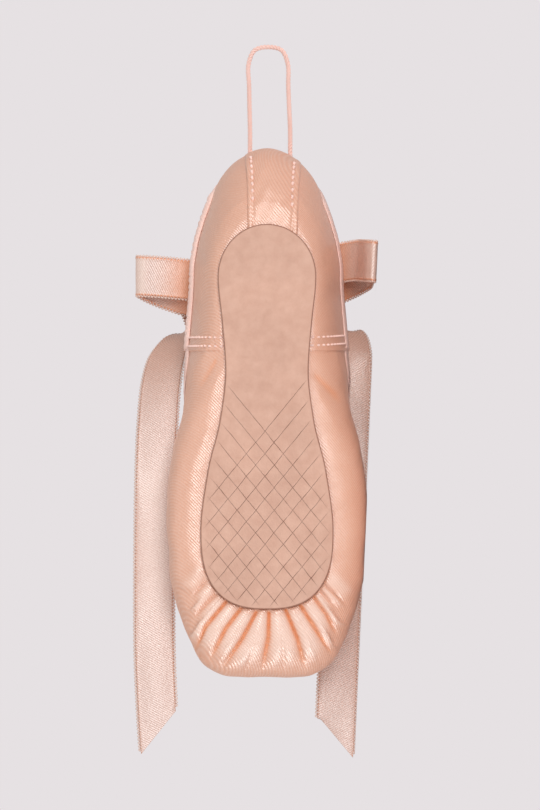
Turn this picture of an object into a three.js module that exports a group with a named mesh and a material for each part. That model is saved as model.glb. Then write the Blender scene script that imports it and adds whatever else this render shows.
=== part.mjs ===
// Miniature satin pointe shoe: leather outsole, pleated toe, ribbon bow and a hanging loop at the heel.
//
// Shoe frame, in millimetres: u runs from the back of the heel to the toe, v towards the side that lies on top,
// w from the outsole's face up through the shoe. The shoe lies on its side, so the last group turns that frame
// into the part's own: the heel towards +X, the outsole facing -Y and +Z up.
import * as THREE from "three";

// Driving dimensions of the last
const SHOE_LENGTH = 110;
const HEEL_CENTRE = 26; // where the heel's round end starts
const TOE_CENTRE = 86; // where the toe's round end starts
const THROAT = 58; // where the vamp starts, on the centre line
const COLLAR_TURN = 33; // where the collar's edge begins to rise into the throat
const COLLAR_ANGLE = 73; // degrees up the section at which the quarters end

// The outsole and what lies on it
const SOLE_THICK = 1.0;
const SOLE_BEVEL = 0.2;
const SEAT_GAP = 0.3; // clearance between two pieces that touch
const SOLE_OVERLAP = 1.0; // how far the upper's flat edge starts inside the outsole's outline
const LASTING_MARGIN = 3.0; // how far the upper reaches in under the outsole
const INSOLE_THICK = 1.0;
const INSOLE_INSET = 0.4;

// Seam, pleats and overlays
const SEAM_AT = 41.8; // the quarters' front edge over the vamp
const SEAM_STEP = 0.35;
const SEAM_FADE = 12; // degrees up from the outsole over which the seam's step comes in
const PLEAT_DEPTH = 0.75;
const PLEAT_SPREAD = 3.4; // degrees round the toe over which a groove fades
const PLEAT_FULLNESS = 0.35; // how far the pleats stand out between their grooves, beside the depth
const PLEAT_TOP = 78; // degrees up the section at which the pleats end
const STRIP_THICK = 0.5;
const STRIP_LEFT = 4.0;
const STRIP_RIGHT = -6.3;
const STRIP_BOTTOM = 14; // degrees up the section at which the strip starts and ends
const STRIP_TOP = 62;
const BINDING_THICK = 0.5;
const BINDING_TALL = 2.6;
const LINING_EASE = 0.25; // extra clearance of the binding's inner leg

// Ribbon and cord
const RIBBON_WIDE = 8.2;
const RIBBON_THICK = 0.45;
const CORD_ACROSS = 1.05;
const KNOT = { long: 8.4, wide: 6.6, deep: 4.8, bevel: 1.0, corner: 1.2, at: { u: 30, w: 28.2 } };

// How the shoe lies: its long axis leans by this angle, heel up, on the box's side and the lower bow loop.
// The floor touches the box at one station, at this distance from the centre line, where the box has a slight flat.
const LEAN = THREE.MathUtils.degToRad(2.57);
const REST = { at: 79.4, half: 20.7 };
const floorHalf = (u) => REST.half + (REST.at - u) * Math.tan(LEAN);
const ORIGIN = { x: 54.54, y: 13.6, z: floorHalf(0) * Math.cos(LEAN) };

// Side outline and section, a row for each station between the two round ends.
// half is the widest half-width, full its height, top the height on the centre line, low and up how square
// the lower and upper curves are, wall the thickness.
const STATIONS = [
  { at: 26, half: 15.2, full: 27.0, top: 28.0, low: 2.0, up: 2.2, wall: 1.1 },
  { at: 36, half: 15.9, full: 25.5, top: 27.5, low: 2.1, up: 2.2, wall: 1.1 },
  { at: 46, half: 16.9, full: 17.5, top: 26.5, low: 2.4, up: 2.3, wall: 1.2 },
  { at: 54, half: 17.6, full: 13.0, top: 25.8, low: 2.7, up: 2.4, wall: 1.4 },
  { at: 62, half: 19.6, full: 11.0, top: 24.8, low: 2.9, up: 2.5, wall: 1.6 },
  { at: 70, half: 20.8, full: 10.2, top: 23.5, low: 3.1, up: 2.6, wall: 1.8 },
  { at: 78, half: 21.1, full: 9.8, top: 22.0, low: 3.1, up: 2.7, wall: 1.8 },
  { at: 86, half: 20.5, full: 9.4, top: 20.2, low: 2.9, up: 2.8, wall: 1.8 },
];

// Toe end, a row for each angle from straight ahead to the side
const TOE = [
  { at: 0, half: 24.2, full: 8.6, low: 2.4, up: 4.6 },
  { at: 12, half: 24.8, full: 8.6, low: 2.4, up: 4.4 },
  { at: 22, half: 25.6, full: 8.7, low: 2.4, up: 4.1 },
  { at: 30, half: 25.4, full: 8.8, low: 2.5, up: 3.8 },
  { at: 44, half: 23.2, full: 9.0, low: 2.6, up: 3.3 },
  { at: 60, half: 21.3, full: 9.2, low: 2.8, up: 3.0 },
  { at: 75, half: 20.6, full: 9.3, low: 2.9, up: 2.9 },
  { at: 90, half: 20.5, full: 9.4, low: 2.9, up: 2.8 },
];

// Heel end, a row for each angle from straight back to the side
const HEEL = [
  { at: 0, half: 26.0, full: 31.0, low: 2.0 },
  { at: 13, half: 24.5, full: 30.8, low: 2.0 },
  { at: 21, half: 22.8, full: 30.2, low: 2.0 },
  { at: 32, half: 20.4, full: 29.2, low: 2.0 },
  { at: 44, half: 18.1, full: 28.2, low: 2.0 },
  { at: 57, half: 16.5, full: 27.5, low: 2.0 },
  { at: 75, half: 15.4, full: 27.1, low: 2.0 },
  { at: 90, half: 15.2, full: 27.0, low: 2.0 },
];

// The outsole's half-width between its heel and its forefoot, where its two round ends start
const SOLE_HEEL = { at: 26.3, back: 11.0, half: 10.3, square: 2.0 };
const SOLE_FORE = { at: 79.6, front: 16.2, half: 13.9, square: 2.6 };
const SOLE_WAIST = [
  { at: 26.3, half: 10.3 },
  { at: 36, half: 9.4 },
  { at: 46, half: 8.7 },
  { at: 56, half: 9.8 },
  { at: 67, half: 12.4 },
  { at: 79.6, half: 13.9 },
];

// The grooves between the toe's pleats: angle from straight ahead, and how deep beside the deepest
const PLEATS = [
  { angle: 64, depth: 0.35 },
  { angle: 43, depth: 0.7 },
  { angle: 31, depth: 0.8 },
  { angle: 16, depth: 1.0 },
  { angle: -1, depth: 0.9 },
  { angle: -24, depth: 1.0 },
  { angle: -37, depth: 0.8 },
  { angle: -50, depth: 0.7 },
  { angle: -65, depth: 0.5 },
];

// Ribbon routes: the middle of the ribbon and the direction across it
const LOOP_LEFT = [
  { u: 27.8, v: 4.0, w: 27.3, au: 1, av: 0.05, aw: 0 },
  { u: 27.2, v: 9.0, w: 26.0, au: 1, av: 0.05, aw: 0 },
  { u: 26.6, v: 16.6, w: 24.9, au: 1, av: 0.06, aw: 0 },
  { u: 26.0, v: 23.0, w: 24.7, au: 1, av: 0.04, aw: 0 },
  { u: 25.8, v: 26.6, w: 25.3, au: 1, av: 0.03, aw: 0 },
  { u: 25.8, v: 27.7, w: 27.0, au: 1, av: 0, aw: 0 },
  { u: 26.0, v: 26.6, w: 28.7, au: 1, av: 0, aw: 0 },
  { u: 27.6, v: 23.4, w: 29.6, au: 0.95, av: -0.25, aw: 0 },
  { u: 30.0, v: 16.6, w: 29.2, au: 0.92, av: -0.3, aw: 0 },
  { u: 31.4, v: 9.6, w: 29.0, au: 0.96, av: -0.2, aw: 0 },
  { u: 31.6, v: 4.0, w: 28.4, au: 1, av: 0, aw: 0 },
];
const LOOP_RIGHT = [
  { u: 28.2, v: -4.2, w: 27.2, au: 1, av: 0.1, aw: 0 },
  { u: 25.6, v: -9.4, w: 25.6, au: 0.95, av: 0.2, aw: 0 },
  { u: 23.2, v: -15.2, w: 23.6, au: 0.97, av: 0.2, aw: 0 },
  { u: 22.6, v: -18.6, w: 20.4, au: 0.99, av: 0.1, aw: 0 },
  { u: 22.7, v: -20.2, w: 15.6, au: 1, av: 0.045, aw: 0 },
  { u: 22.8, v: -21.3, w: 11.2, au: 1, av: 0.045, aw: 0 },
  { u: 22.9, v: -22.3, w: 9.4, au: 1, av: 0.045, aw: 0 },
  { u: 23.0, v: -22.9, w: 10.6, au: 1, av: 0.045, aw: 0 },
  { u: 23.05, v: -22.89, w: 14.4, au: 1, av: 0.045, aw: 0 },
  { u: 23.1, v: -22.71, w: 18.2, au: 1, av: 0.045, aw: 0 },
  { u: 24.2, v: -21.6, w: 23.6, au: 0.99, av: 0, aw: 0 },
  { u: 26.6, v: -16.6, w: 28.0, au: 0.97, av: -0.15, aw: 0 },
  { u: 29.4, v: -9.6, w: 29.4, au: 0.97, av: -0.2, aw: 0 },
  { u: 30.8, v: -4.5, w: 28.4, au: 1, av: 0, aw: 0 },
];
const TAIL_LEFT = [
  { u: 32.0, v: 3.7, w: 30.5, au: 1, av: 0.05, aw: 0 },
  { u: 33.2, v: 9.0, w: 32.0, au: 1, av: 0.2, aw: 0 },
  { u: 35.6, v: 15.0, w: 32.6, au: 0.9, av: 0.5, aw: 0 },
  { u: 39.2, v: 19.2, w: 31.2, au: 0.45, av: 0.85, aw: 0.3 },
  { u: 43.4, v: 21.3, w: 27.8, au: 0.2, av: 0.95, aw: 0.2 },
  { u: 49.0, v: 22.5, w: 24.0, au: 0.1, av: 1, aw: 0.1 },
  { u: 56.5, v: 23.1, w: 20.4, au: 0.05, av: 1, aw: 0.03 },
  { u: 66.0, v: 23.5, w: 18.3, au: 0, av: 1, aw: 0 },
  { u: 78.0, v: 23.7, w: 17.7, au: 0, av: 1, aw: 0 },
  { u: 92.0, v: 23.8, w: 18.0, au: 0, av: 1, aw: 0 },
  { u: 106.0, v: 23.7, w: 17.5, au: 0, av: 1, aw: 0 },
  { u: 117.5, v: 23.2, w: 17.0, au: -0.04, av: 1, aw: 0 },
  { u: 126.5, v: 22.6, w: 16.8, au: -0.08, av: 1, aw: 0 },
];
const TAIL_RIGHT = [
  { u: 32.0, v: -3.7, w: 30.0, au: 1, av: -0.05, aw: 0 },
  { u: 32.8, v: -8.4, w: 31.2, au: 1, av: -0.15, aw: 0 },
  { u: 34.8, v: -13.0, w: 32.2, au: 0.9, av: -0.45, aw: 0 },
  { u: 38.0, v: -16.8, w: 29.8, au: 0.5, av: -0.85, aw: 0 },
  { u: 43.6, v: -17.92, w: 26.9, au: 0.15, av: -1, aw: 0 },
  { u: 51.0, v: -17.67, w: 25.3, au: 0.045, av: -1, aw: 0 },
  { u: 61.0, v: -17.22, w: 24.8, au: 0.045, av: -1, aw: 0 },
  { u: 73.0, v: -16.68, w: 24.0, au: 0.045, av: -1, aw: 0 },
  { u: 86.0, v: -16.10, w: 23.4, au: 0.045, av: -1, aw: 0 },
  { u: 99.0, v: -15.52, w: 23.8, au: 0.045, av: -1, aw: 0 },
  { u: 112.0, v: -14.92, w: 23.2, au: 0.045, av: -1, aw: 0 },
  { u: 121.0, v: -14.52, w: 22.2, au: 0.045, av: -1, aw: 0 },
  { u: 127.5, v: -14.22, w: 21.6, au: 0.045, av: -1, aw: 0 },
];
const TAIL_CUT = 8.6; // how far one corner of a tail's slanted end reaches past the other
const CUT_FROM = 0.9; // how far along a tail its slanted end begins

// The ribbon from inside a quarter up to the knot; v is given for one side and mirrored for the other
const BAND = [
  { u: 38.0, v: 12.0, w: 10.5, au: 1, av: 0, aw: 0 },
  { u: 37.4, v: 12.8, w: 14.0, au: 1, av: 0, aw: 0 },
  { u: 36.4, v: 12.2, w: 18.9, au: 1, av: 0, aw: 0.05 },
  { u: 35.0, v: 10.0, w: 22.2, au: 1, av: 0, aw: 0.05 },
  { u: 33.0, v: 7.0, w: 24.6, au: 1, av: 0, aw: 0 },
  { u: 31.4, v: 4.0, w: 26.2, au: 1, av: 0, aw: 0 },
];

// The hanging loop's cord: up inside the heel, over its edge and round in a bow
const CORD_ROUTE = [
  { u: 7.1, v: 3.6, w: 13.0 },
  { u: 5.8, v: 3.6, w: 17.0 },
  { u: 5.3, v: 3.6, w: 20.5 },
  { u: 4.6, v: 3.6, w: 23.4 },
  { u: 1.8, v: 3.6, w: 25.0 },
  { u: -1.0, v: 3.6, w: 25.4 },
  { u: -5.0, v: 3.6, w: 25.1 },
  { u: -9.5, v: 3.7, w: 24.6 },
  { u: -14.5, v: 3.8, w: 24.0 },
  { u: -19.0, v: 3.9, w: 23.6 },
  { u: -21.9, v: 2.6, w: 23.4 },
  { u: -22.6, v: -0.2, w: 23.4 },
  { u: -21.9, v: -3.1, w: 23.4 },
  { u: -19.0, v: -4.4, w: 23.6 },
  { u: -14.5, v: -4.5, w: 24.0 },
  { u: -9.5, v: -4.7, w: 24.6 },
  { u: -5.0, v: -4.9, w: 25.1 },
  { u: -1.0, v: -4.9, w: 25.4 },
  { u: 2.4, v: -4.9, w: 25.2 },
  { u: 5.4, v: -4.9, w: 23.5 },
  { u: 6.1, v: -4.9, w: 20.5 },
  { u: 6.5, v: -4.9, w: 17.0 },
  { u: 7.6, v: -4.9, w: 13.0 },
];

// How finely the curved surfaces are cut
const ROWS_OUT = [0, 6, 12, 19, 26, 34, 42, 50, 58, 66, 73, 84, 96, 109, 122, 136, 150, 165, 180];
const ROWS_IN = [0, 14, 28, 43, 58, 73, 92, 112, 132, 148, 160, 170, 180];
const STRIP_ROWS = 10;
const RIBBON_SIDES = [-0.5, -0.17, 0.17, 0.5];
const BAND_STEPS = 16;
const LOOP_STEPS = 30;
const TAIL_STEPS = 32;
const CORD_STEPS = 60;
const SHORTEST_EDGE = 0.2; // of the outsole's outline
const NORMAL_STEP = 1.5; // degrees to each side of a point for its normal
const RIDGE_FROM = 179; // degrees up the section from which the normal follows the top line
const TURN_PER_MM = 3; // degrees round an end that pass for a millimetre along a side
const HEEL_STEPS = 7;
const TOE_SIDE_STEPS = 3;
const PLEAT_STEPS = 4;
const SIDE_STATIONS = [
  26, 30, 34.5, 38.5, 41.6, 42.0, 45.5, 49, 52, 54.2, 55.8, 56.9, 57.5, 57.85, 58, 61, 65, 69.5, 74, 78, 82, 86,
];

const rad = THREE.MathUtils.degToRad;

// Value of one column of a table at x, along a smooth curve through the rows that never overshoots them
function lookUp(rows, column, x) {
  const last = rows.length - 1;
  if (x <= rows[0].at) return rows[0][column];
  if (x >= rows[last].at) return rows[last][column];
  const slope = (k) => (rows[k + 1][column] - rows[k][column]) / (rows[k + 1].at - rows[k].at);
  const tangent = (k) => {
    if (k === 0 || k === last) return 0;
    const before = slope(k - 1);
    const after = slope(k);
    return before * after <= 0 ? 0 : (2 * before * after) / (before + after);
  };
  const k = rows.findIndex((row) => row.at > x) - 1;
  const step = rows[k + 1].at - rows[k].at;
  const t = (x - rows[k].at) / step;
  const rise = t * t * (3 - 2 * t);
  return (
    rows[k][column] * (1 - rise) +
    rows[k + 1][column] * rise +
    step * (t * (1 - t) * (1 - t) * tangent(k) - t * t * (1 - t) * tangent(k + 1))
  );
}

// Half-width of the outsole at station u
function soleHalfWidth(u) {
  const heel = (SOLE_HEEL.at - u) / SOLE_HEEL.back;
  const fore = (u - SOLE_FORE.at) / SOLE_FORE.front;
  if (heel > 0) return SOLE_HEEL.half * Math.pow(Math.max(0, 1 - heel ** SOLE_HEEL.square), 1 / SOLE_HEEL.square);
  if (fore > 0) return SOLE_FORE.half * Math.pow(Math.max(0, 1 - fore ** SOLE_FORE.square), 1 / SOLE_FORE.square);
  return lookUp(SOLE_WAIST, "half", u);
}

// Distance from a round end's centre to the outsole's edge, in a direction across the plan
function soleReach(centre, along, across) {
  let near = 0;
  let far = SHOE_LENGTH / 2;
  for (let i = 0; i < 40; i++) {
    const r = (near + far) / 2;
    const inside = Math.abs(r * across) < soleHalfWidth(centre + r * along);
    if (inside) near = r;
    else far = r;
  }
  return near;
}

// Degrees up the section at which the collar cuts it: level along the quarters, then round into the throat
function collarAngle(u) {
  const x = THREE.MathUtils.clamp((u - COLLAR_TURN) / (THROAT - COLLAR_TURN), 0, 1);
  return COLLAR_ANGLE + (180 - COLLAR_ANGLE) * (1 - Math.sqrt(1 - x * x));
}

// One upright half-section of the last: its foot on the centre line, its direction in plan and its sizes
function sideLine(u, side) {
  const row = (column) => lookUp(STATIONS, column, u);
  return {
    centre: u,
    along: 0,
    across: side,
    cut: collarAngle(u),
    sole: soleHalfWidth(u),
    half: row("half"),
    full: row("full"),
    top: row("top"),
    low: row("low"),
    up: row("up"),
    wall: row("wall"),
    step: u < SEAM_AT ? SEAM_STEP : 0,
    pleat: null,
  };
}

function toeLine(angle) {
  const row = (column) => lookUp(TOE, column, Math.abs(angle));
  const along = Math.cos(rad(angle));
  const across = Math.sin(rad(angle));
  return {
    centre: TOE_CENTRE,
    along,
    across,
    cut: 180,
    sole: soleReach(TOE_CENTRE, along, across),
    half: row("half"),
    full: row("full"),
    top: lookUp(STATIONS, "top", TOE_CENTRE),
    low: row("low"),
    up: row("up"),
    wall: lookUp(STATIONS, "wall", TOE_CENTRE),
    step: 0,
    pleat: angle,
  };
}

function heelLine(angle) {
  const back = 180 - Math.abs(angle);
  const row = (column) => lookUp(HEEL, column, back);
  const along = Math.cos(rad(angle));
  const across = Math.sin(rad(angle));
  return {
    centre: HEEL_CENTRE,
    along,
    across,
    cut: COLLAR_ANGLE,
    sole: soleReach(HEEL_CENTRE, along, across),
    half: row("half"),
    full: row("full"),
    top: STATIONS[0].top,
    low: row("low"),
    up: STATIONS[0].up,
    wall: STATIONS[0].wall,
    step: SEAM_STEP,
    pleat: null,
  };
}

// Reach and height of the last along one half-section, at an angle up from under the sole to the top
const UNDER = SOLE_THICK + SEAT_GAP;
function sectionPoint(line, angle) {
  const foot = line.sole - SOLE_OVERLAP;
  // Where the collar cuts a section below its widest point, the widest point is set so that the cut meets the outline
  const cutShare = line.cut < 90 ? Math.pow(Math.sin(rad(line.cut)), 2 / line.low) : 1;
  const half = foot + (line.half - foot) / cutShare;
  const sin = Math.abs(Math.sin(rad(angle)));
  const cos = Math.abs(Math.cos(rad(angle)));
  if (angle <= 90) {
    return {
      reach: foot + (half - foot) * Math.pow(sin, 2 / line.low),
      height: line.full - (line.full - UNDER) * Math.pow(cos, 2 / line.low),
    };
  }
  return {
    reach: angle >= 180 ? 0 : half * Math.pow(sin, 2 / line.up),
    height: line.full + (line.top - line.full) * Math.pow(cos, 2 / line.up),
  };
}

// A point of the last in the shoe frame; below zero the angle counts millimetres of the flat edge under the sole
function lastPoint(line, angle) {
  const { reach, height } = sectionPoint(line, Math.max(angle, 0));
  const r = angle < 0 ? reach + angle : reach;
  return new THREE.Vector3(line.centre + r * line.along, r * line.across, height);
}

// How deep the toe's pleats are at a point of the last
function pleatDepth(line, angle) {
  if (line.pleat === null || angle <= 0) return 0;
  const fade = Math.sin(rad(THREE.MathUtils.clamp((angle / PLEAT_TOP) * 180, 0, 180)));
  let groove = 0;
  for (const row of PLEATS) {
    const off = (line.pleat - row.angle) / PLEAT_SPREAD;
    groove += row.depth * Math.exp(-off * off);
  }
  return PLEAT_DEPTH * fade * (groove - PLEAT_FULLNESS);
}

// Unit normal of the last, facing out, by differences along the section and between neighbouring half-sections
function lastNormal(lines, i, angle) {
  const line = lines[i];
  if (angle < 0) return new THREE.Vector3(0, 0, -1);
  if (angle >= RIDGE_FROM) {
    const slope = lookUp(STATIONS, "top", line.centre + 0.5) - lookUp(STATIONS, "top", line.centre - 0.5);
    return new THREE.Vector3(-slope, 0, 1).normalize();
  }
  const before = lines[(i + lines.length - 1) % lines.length];
  const after = lines[(i + 1) % lines.length];
  const clip = (other) => Math.min(angle, other.cut);
  const around = lastPoint(after, clip(after)).sub(lastPoint(before, clip(before)));
  const higher = lastPoint(line, Math.min(angle + NORMAL_STEP, RIDGE_FROM));
  const upward = higher.sub(lastPoint(line, Math.max(angle - NORMAL_STEP, 0)));
  return upward.cross(around).normalize();
}

// All the half-sections, once round the shoe from the back of the heel along the upper side
function linesAround() {
  const lines = [];
  for (let k = 0; k < HEEL_STEPS; k++) lines.push(heelLine(180 - (90 * k) / HEEL_STEPS));
  for (const u of SIDE_STATIONS) lines.push(sideLine(u, 1));
  const first = PLEATS[0].angle;
  const last = PLEATS[PLEATS.length - 1].angle;
  for (let k = 1; k < TOE_SIDE_STEPS; k++) lines.push(toeLine(90 + ((first - 90) * k) / TOE_SIDE_STEPS));
  for (let p = 0; p + 1 < PLEATS.length; p++) {
    const from = PLEATS[p].angle;
    const to = PLEATS[p + 1].angle;
    for (let k = 0; k < PLEAT_STEPS; k++) lines.push(toeLine(from + ((to - from) * k) / PLEAT_STEPS));
  }
  for (let k = 0; k < TOE_SIDE_STEPS; k++) lines.push(toeLine(last + ((-90 - last) * k) / TOE_SIDE_STEPS));
  for (const u of [...SIDE_STATIONS].reverse()) lines.push(sideLine(u, -1));
  for (let k = 1; k < HEEL_STEPS; k++) lines.push(heelLine(-90 - (90 * k) / HEEL_STEPS));
  return lines;
}
const LINES = linesAround();

// A closed mesh from triangles of points: shared corners become one, flat triangles go, faces point out
function solid(triangles) {
  const keys = new Map();
  const points = [];
  const number = (p) => {
    const key = [p.x, p.y, p.z].map((c) => Math.round(c * 2000)).join();
    if (!keys.has(key)) {
      keys.set(key, points.length);
      points.push(p);
    }
    return keys.get(key);
  };
  const faces = triangles
    .map((triangle) => triangle.map(number))
    .filter(([a, b, c]) => a !== b && b !== c && c !== a);
  let volume = 0;
  for (const [a, b, c] of faces) volume += points[a].dot(new THREE.Vector3().crossVectors(points[b], points[c]));
  const turned = volume < 0 ? faces.map(([a, b, c]) => [a, c, b]) : faces;
  const geometry = new THREE.BufferGeometry();
  geometry.setAttribute("position", new THREE.Float32BufferAttribute(points.flatMap((p) => p.toArray()), 3));
  geometry.setIndex(turned.flat());
  geometry.computeVertexNormals();
  return geometry;
}

const quad = (a, b, c, d) => [
  [a, b, c],
  [a, c, d],
];

// A sheet with a thickness: two grids of points with the same columns, closed round their edges; joined(i, n) tells
// where the last rows of two columns meet the sheet's own other side and need no edge
function thickSheet(outer, inner, aroundClosed, joined = () => false) {
  const triangles = [];
  const columns = outer.length;
  const outRows = outer[0].length;
  const inRows = inner[0].length;
  const pairs = aroundClosed ? columns : columns - 1;
  for (let i = 0; i < pairs; i++) {
    const n = (i + 1) % columns;
    for (let j = 0; j + 1 < outRows; j++) {
      triangles.push(...quad(outer[i][j], outer[n][j], outer[n][j + 1], outer[i][j + 1]));
    }
    for (let j = 0; j + 1 < inRows; j++) {
      triangles.push(...quad(inner[i][j], inner[i][j + 1], inner[n][j + 1], inner[n][j]));
    }
    triangles.push(...quad(outer[n][0], outer[i][0], inner[i][0], inner[n][0]));
    if (joined(i, n)) continue;
    triangles.push(...quad(outer[i][outRows - 1], outer[n][outRows - 1], inner[n][inRows - 1], inner[i][inRows - 1]));
  }
  if (!aroundClosed) {
    const end = columns - 1;
    for (let j = 0; j + 1 < outRows; j++) {
      triangles.push(...quad(outer[0][j], outer[0][j + 1], inner[0][j + 1], inner[0][j]));
      triangles.push(...quad(outer[end][j + 1], outer[end][j], inner[end][j], inner[end][j + 1]));
    }
  }
  return solid(triangles);
}

// Rows of one half-section: the flat edge under the sole, then up to the collar or the top
const sectionRows = (line, rows) => [SOLE_OVERLAP - LASTING_MARGIN, ...rows.map((angle) => Math.min(angle, line.cut))];

// Upper: the last's surface with the seam's step and the pleats outside, and the wall's thickness inside
function upperGeometry() {
  const outer = LINES.map((line, i) =>
    sectionRows(line, ROWS_OUT).map((angle) => {
      const relief = line.step * Math.min(1, Math.max(angle, 0) / SEAM_FADE) - pleatDepth(line, angle);
      const p = lastPoint(line, angle).addScaledVector(lastNormal(LINES, i, angle), relief);
      p.y = Math.max(p.y, -floorHalf(p.x));
      return p;
    }),
  );
  const inner = LINES.map((line, i) =>
    sectionRows(line, ROWS_IN).map((angle) => lastPoint(line, angle).addScaledVector(lastNormal(LINES, i, angle), -line.wall)),
  );
  return thickSheet(outer, inner, true, (i, n) => LINES[i].cut === 180 && LINES[n].cut === 180);
}

// A flat piece with the outsole's outline, drawn in by a margin
function solePlate(inset, thick, bevel, base) {
  const shape = new THREE.Shape(
    LINES.map((line) => {
      const r = line.sole - inset;
      return new THREE.Vector2(line.centre + r * line.along, r * line.across);
    }).filter((p, i, all) => i === 0 || p.distanceTo(all[i - 1]) > SHORTEST_EDGE),
  );
  const geometry = new THREE.ExtrudeGeometry(shape, {
    depth: thick - 2 * bevel,
    bevelEnabled: bevel > 0,
    bevelThickness: bevel,
    bevelSize: bevel,
    bevelOffset: -bevel,
    bevelSegments: 1,
    steps: 1,
  });
  geometry.translate(0, 0, base + bevel);
  return geometry;
}

// A half-section of the heel through the point where the surface at that angle stands at side distance v
function heelLineAt(v, angle) {
  let turn = 180;
  for (let i = 0; i < 30; i++) {
    const { reach } = sectionPoint(heelLine(turn), angle);
    turn = 180 - THREE.MathUtils.radToDeg(Math.asin(v / reach));
  }
  return heelLine(turn);
}

// Heel strip: a patch between two larger copies of the heel's surface, from the binding down to the outsole
function heelStripGeometry() {
  const sides = [0, 0.25, 0.5, 0.75, 1].map((t) => STRIP_LEFT + (STRIP_RIGHT - STRIP_LEFT) * t);
  const rise = (STRIP_TOP - STRIP_BOTTOM) / (STRIP_ROWS - 1);
  const angles = Array.from({ length: STRIP_ROWS }, (_, k) => STRIP_BOTTOM + rise * k);
  const raised = (lift) =>
    sides.map((v) =>
      angles.map((angle) => {
        const line = heelLineAt(v, angle);
        const near = [heelLineAt(v - 0.5, angle), line, heelLineAt(v + 0.5, angle)];
        return lastPoint(line, angle).addScaledVector(lastNormal(near, 1, angle), lift);
      }),
    );
  const under = SEAM_STEP + SEAT_GAP;
  return thickSheet(raised(under + STRIP_THICK), raised(under), false);
}

// The half-section of the last that passes through a point, turned or moved a little along the row of them
function lineThrough(p, shift = 0) {
  const side = p.y < 0 ? -1 : 1;
  const turnFrom = (centre) => THREE.MathUtils.radToDeg(Math.atan2(p.y, p.x - centre)) - TURN_PER_MM * shift;
  if (p.x < HEEL_CENTRE) return heelLine(turnFrom(HEEL_CENTRE));
  if (p.x > TOE_CENTRE) return toeLine(turnFrom(TOE_CENTRE));
  return sideLine(p.x + side * shift, side);
}

// The last's surface beside a point: the nearest point on the half-section there, and the normal
function onLast(p) {
  const line = lineThrough(p);
  const r = (p.x - line.centre) * line.along + p.y * line.across;
  const away = (angle) => {
    const { reach, height } = sectionPoint(line, angle);
    return Math.hypot(reach - r, height - p.z);
  };
  let best = 0;
  for (let angle = 0; angle <= 180; angle += 2) if (away(angle) < away(best)) best = angle;
  for (let span = 1; span > 0.01; span /= 2) {
    if (away(best + span) < away(best)) best += span;
    else if (best > span && away(best - span) < away(best)) best -= span;
  }
  const near = [lineThrough(p, -0.3), line, lineThrough(p, 0.3)];
  return { point: lastPoint(line, best), normal: lastNormal(near, 1, best) };
}

// Collar binding: a channel folded over the collar's edge, swept once round the opening
function bindingGeometry() {
  const rim = LINES.map((line, i) => ({ line, normal: lastNormal(LINES, i, line.cut), edge: lastPoint(line, line.cut) }))
    .filter(({ line }) => line.cut < 180 || (line.centre === THROAT && line.across > 0));
  const depths = [BINDING_TALL, BINDING_TALL / 2];
  const rings = rim.map(({ line, edge, normal }, i) => {
    const before = rim[(i + rim.length - 1) % rim.length].edge;
    const after = rim[(i + 1) % rim.length].edge;
    const down = new THREE.Vector3().crossVectors(normal, after.clone().sub(before)).normalize();
    const outside = line.step + SEAT_GAP;
    const inside = -line.wall - SEAT_GAP - LINING_EASE;
    const legs = depths.map((depth) => onLast(edge.clone().addScaledVector(down, depth)));
    const at = (row, out, lift = 0) => row.point.clone().addScaledVector(row.normal, out).addScaledVector(down, -lift);
    const top = { point: edge, normal };
    return [
      ...legs.map((row) => at(row, outside)),
      at(top, outside, SEAT_GAP),
      at(top, inside, SEAT_GAP),
      ...[...legs].reverse().map((row) => at(row, inside)),
      ...legs.map((row) => at(row, inside - BINDING_THICK)),
      at(top, inside - BINDING_THICK, SEAT_GAP + BINDING_THICK),
      at(top, outside + BINDING_THICK, SEAT_GAP + BINDING_THICK),
      ...[...legs].reverse().map((row) => at(row, outside + BINDING_THICK)),
    ];
  });
  const triangles = [];
  rings.forEach((ring, i) => {
    const next = rings[(i + 1) % rings.length];
    ring.forEach((p, k) => {
      const m = (k + 1) % ring.length;
      triangles.push(...quad(p, ring[m], next[m], next[k]));
    });
  });
  return solid(triangles);
}

// A smooth curve through one set of columns of a route
function routeCurve(rows, [a, b, c]) {
  return new THREE.CatmullRomCurve3(
    rows.map((row) => new THREE.Vector3(row[a], row[b], row[c])),
    false,
    "centripetal",
  );
}

// A ribbon along a route, with the width and thickness of the real one; cut slants its far end
function ribbonGeometry(rows, steps, cut = 0) {
  const middle = routeCurve(rows, ["u", "v", "w"]);
  const across = routeCurve(rows, ["au", "av", "aw"]);
  const faces = [1, -1].map((face) =>
    RIBBON_SIDES.map((side) => {
      const column = [];
      for (let k = 0; k <= steps; k++) {
        const t = k / steps;
        const p = middle.getPoint(t);
        const tangent = middle.getTangent(t);
        const wide = across.getPoint(t);
        wide.addScaledVector(tangent, -wide.dot(tangent)).normalize();
        const normal = new THREE.Vector3().crossVectors(tangent, wide).normalize();
        const slant = Math.max(0, (t - CUT_FROM) / (1 - CUT_FROM)) * cut * (side - 0.5);
        column.push(
          p
            .addScaledVector(wide, side * RIBBON_WIDE)
            .addScaledVector(normal, (face * RIBBON_THICK) / 2)
            .addScaledVector(tangent, slant),
        );
      }
      return column;
    }),
  );
  return thickSheet(faces[0], faces[1], false);
}

const mirrored = (rows) => rows.map((row) => ({ ...row, v: -row.v, av: -row.av }));

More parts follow.
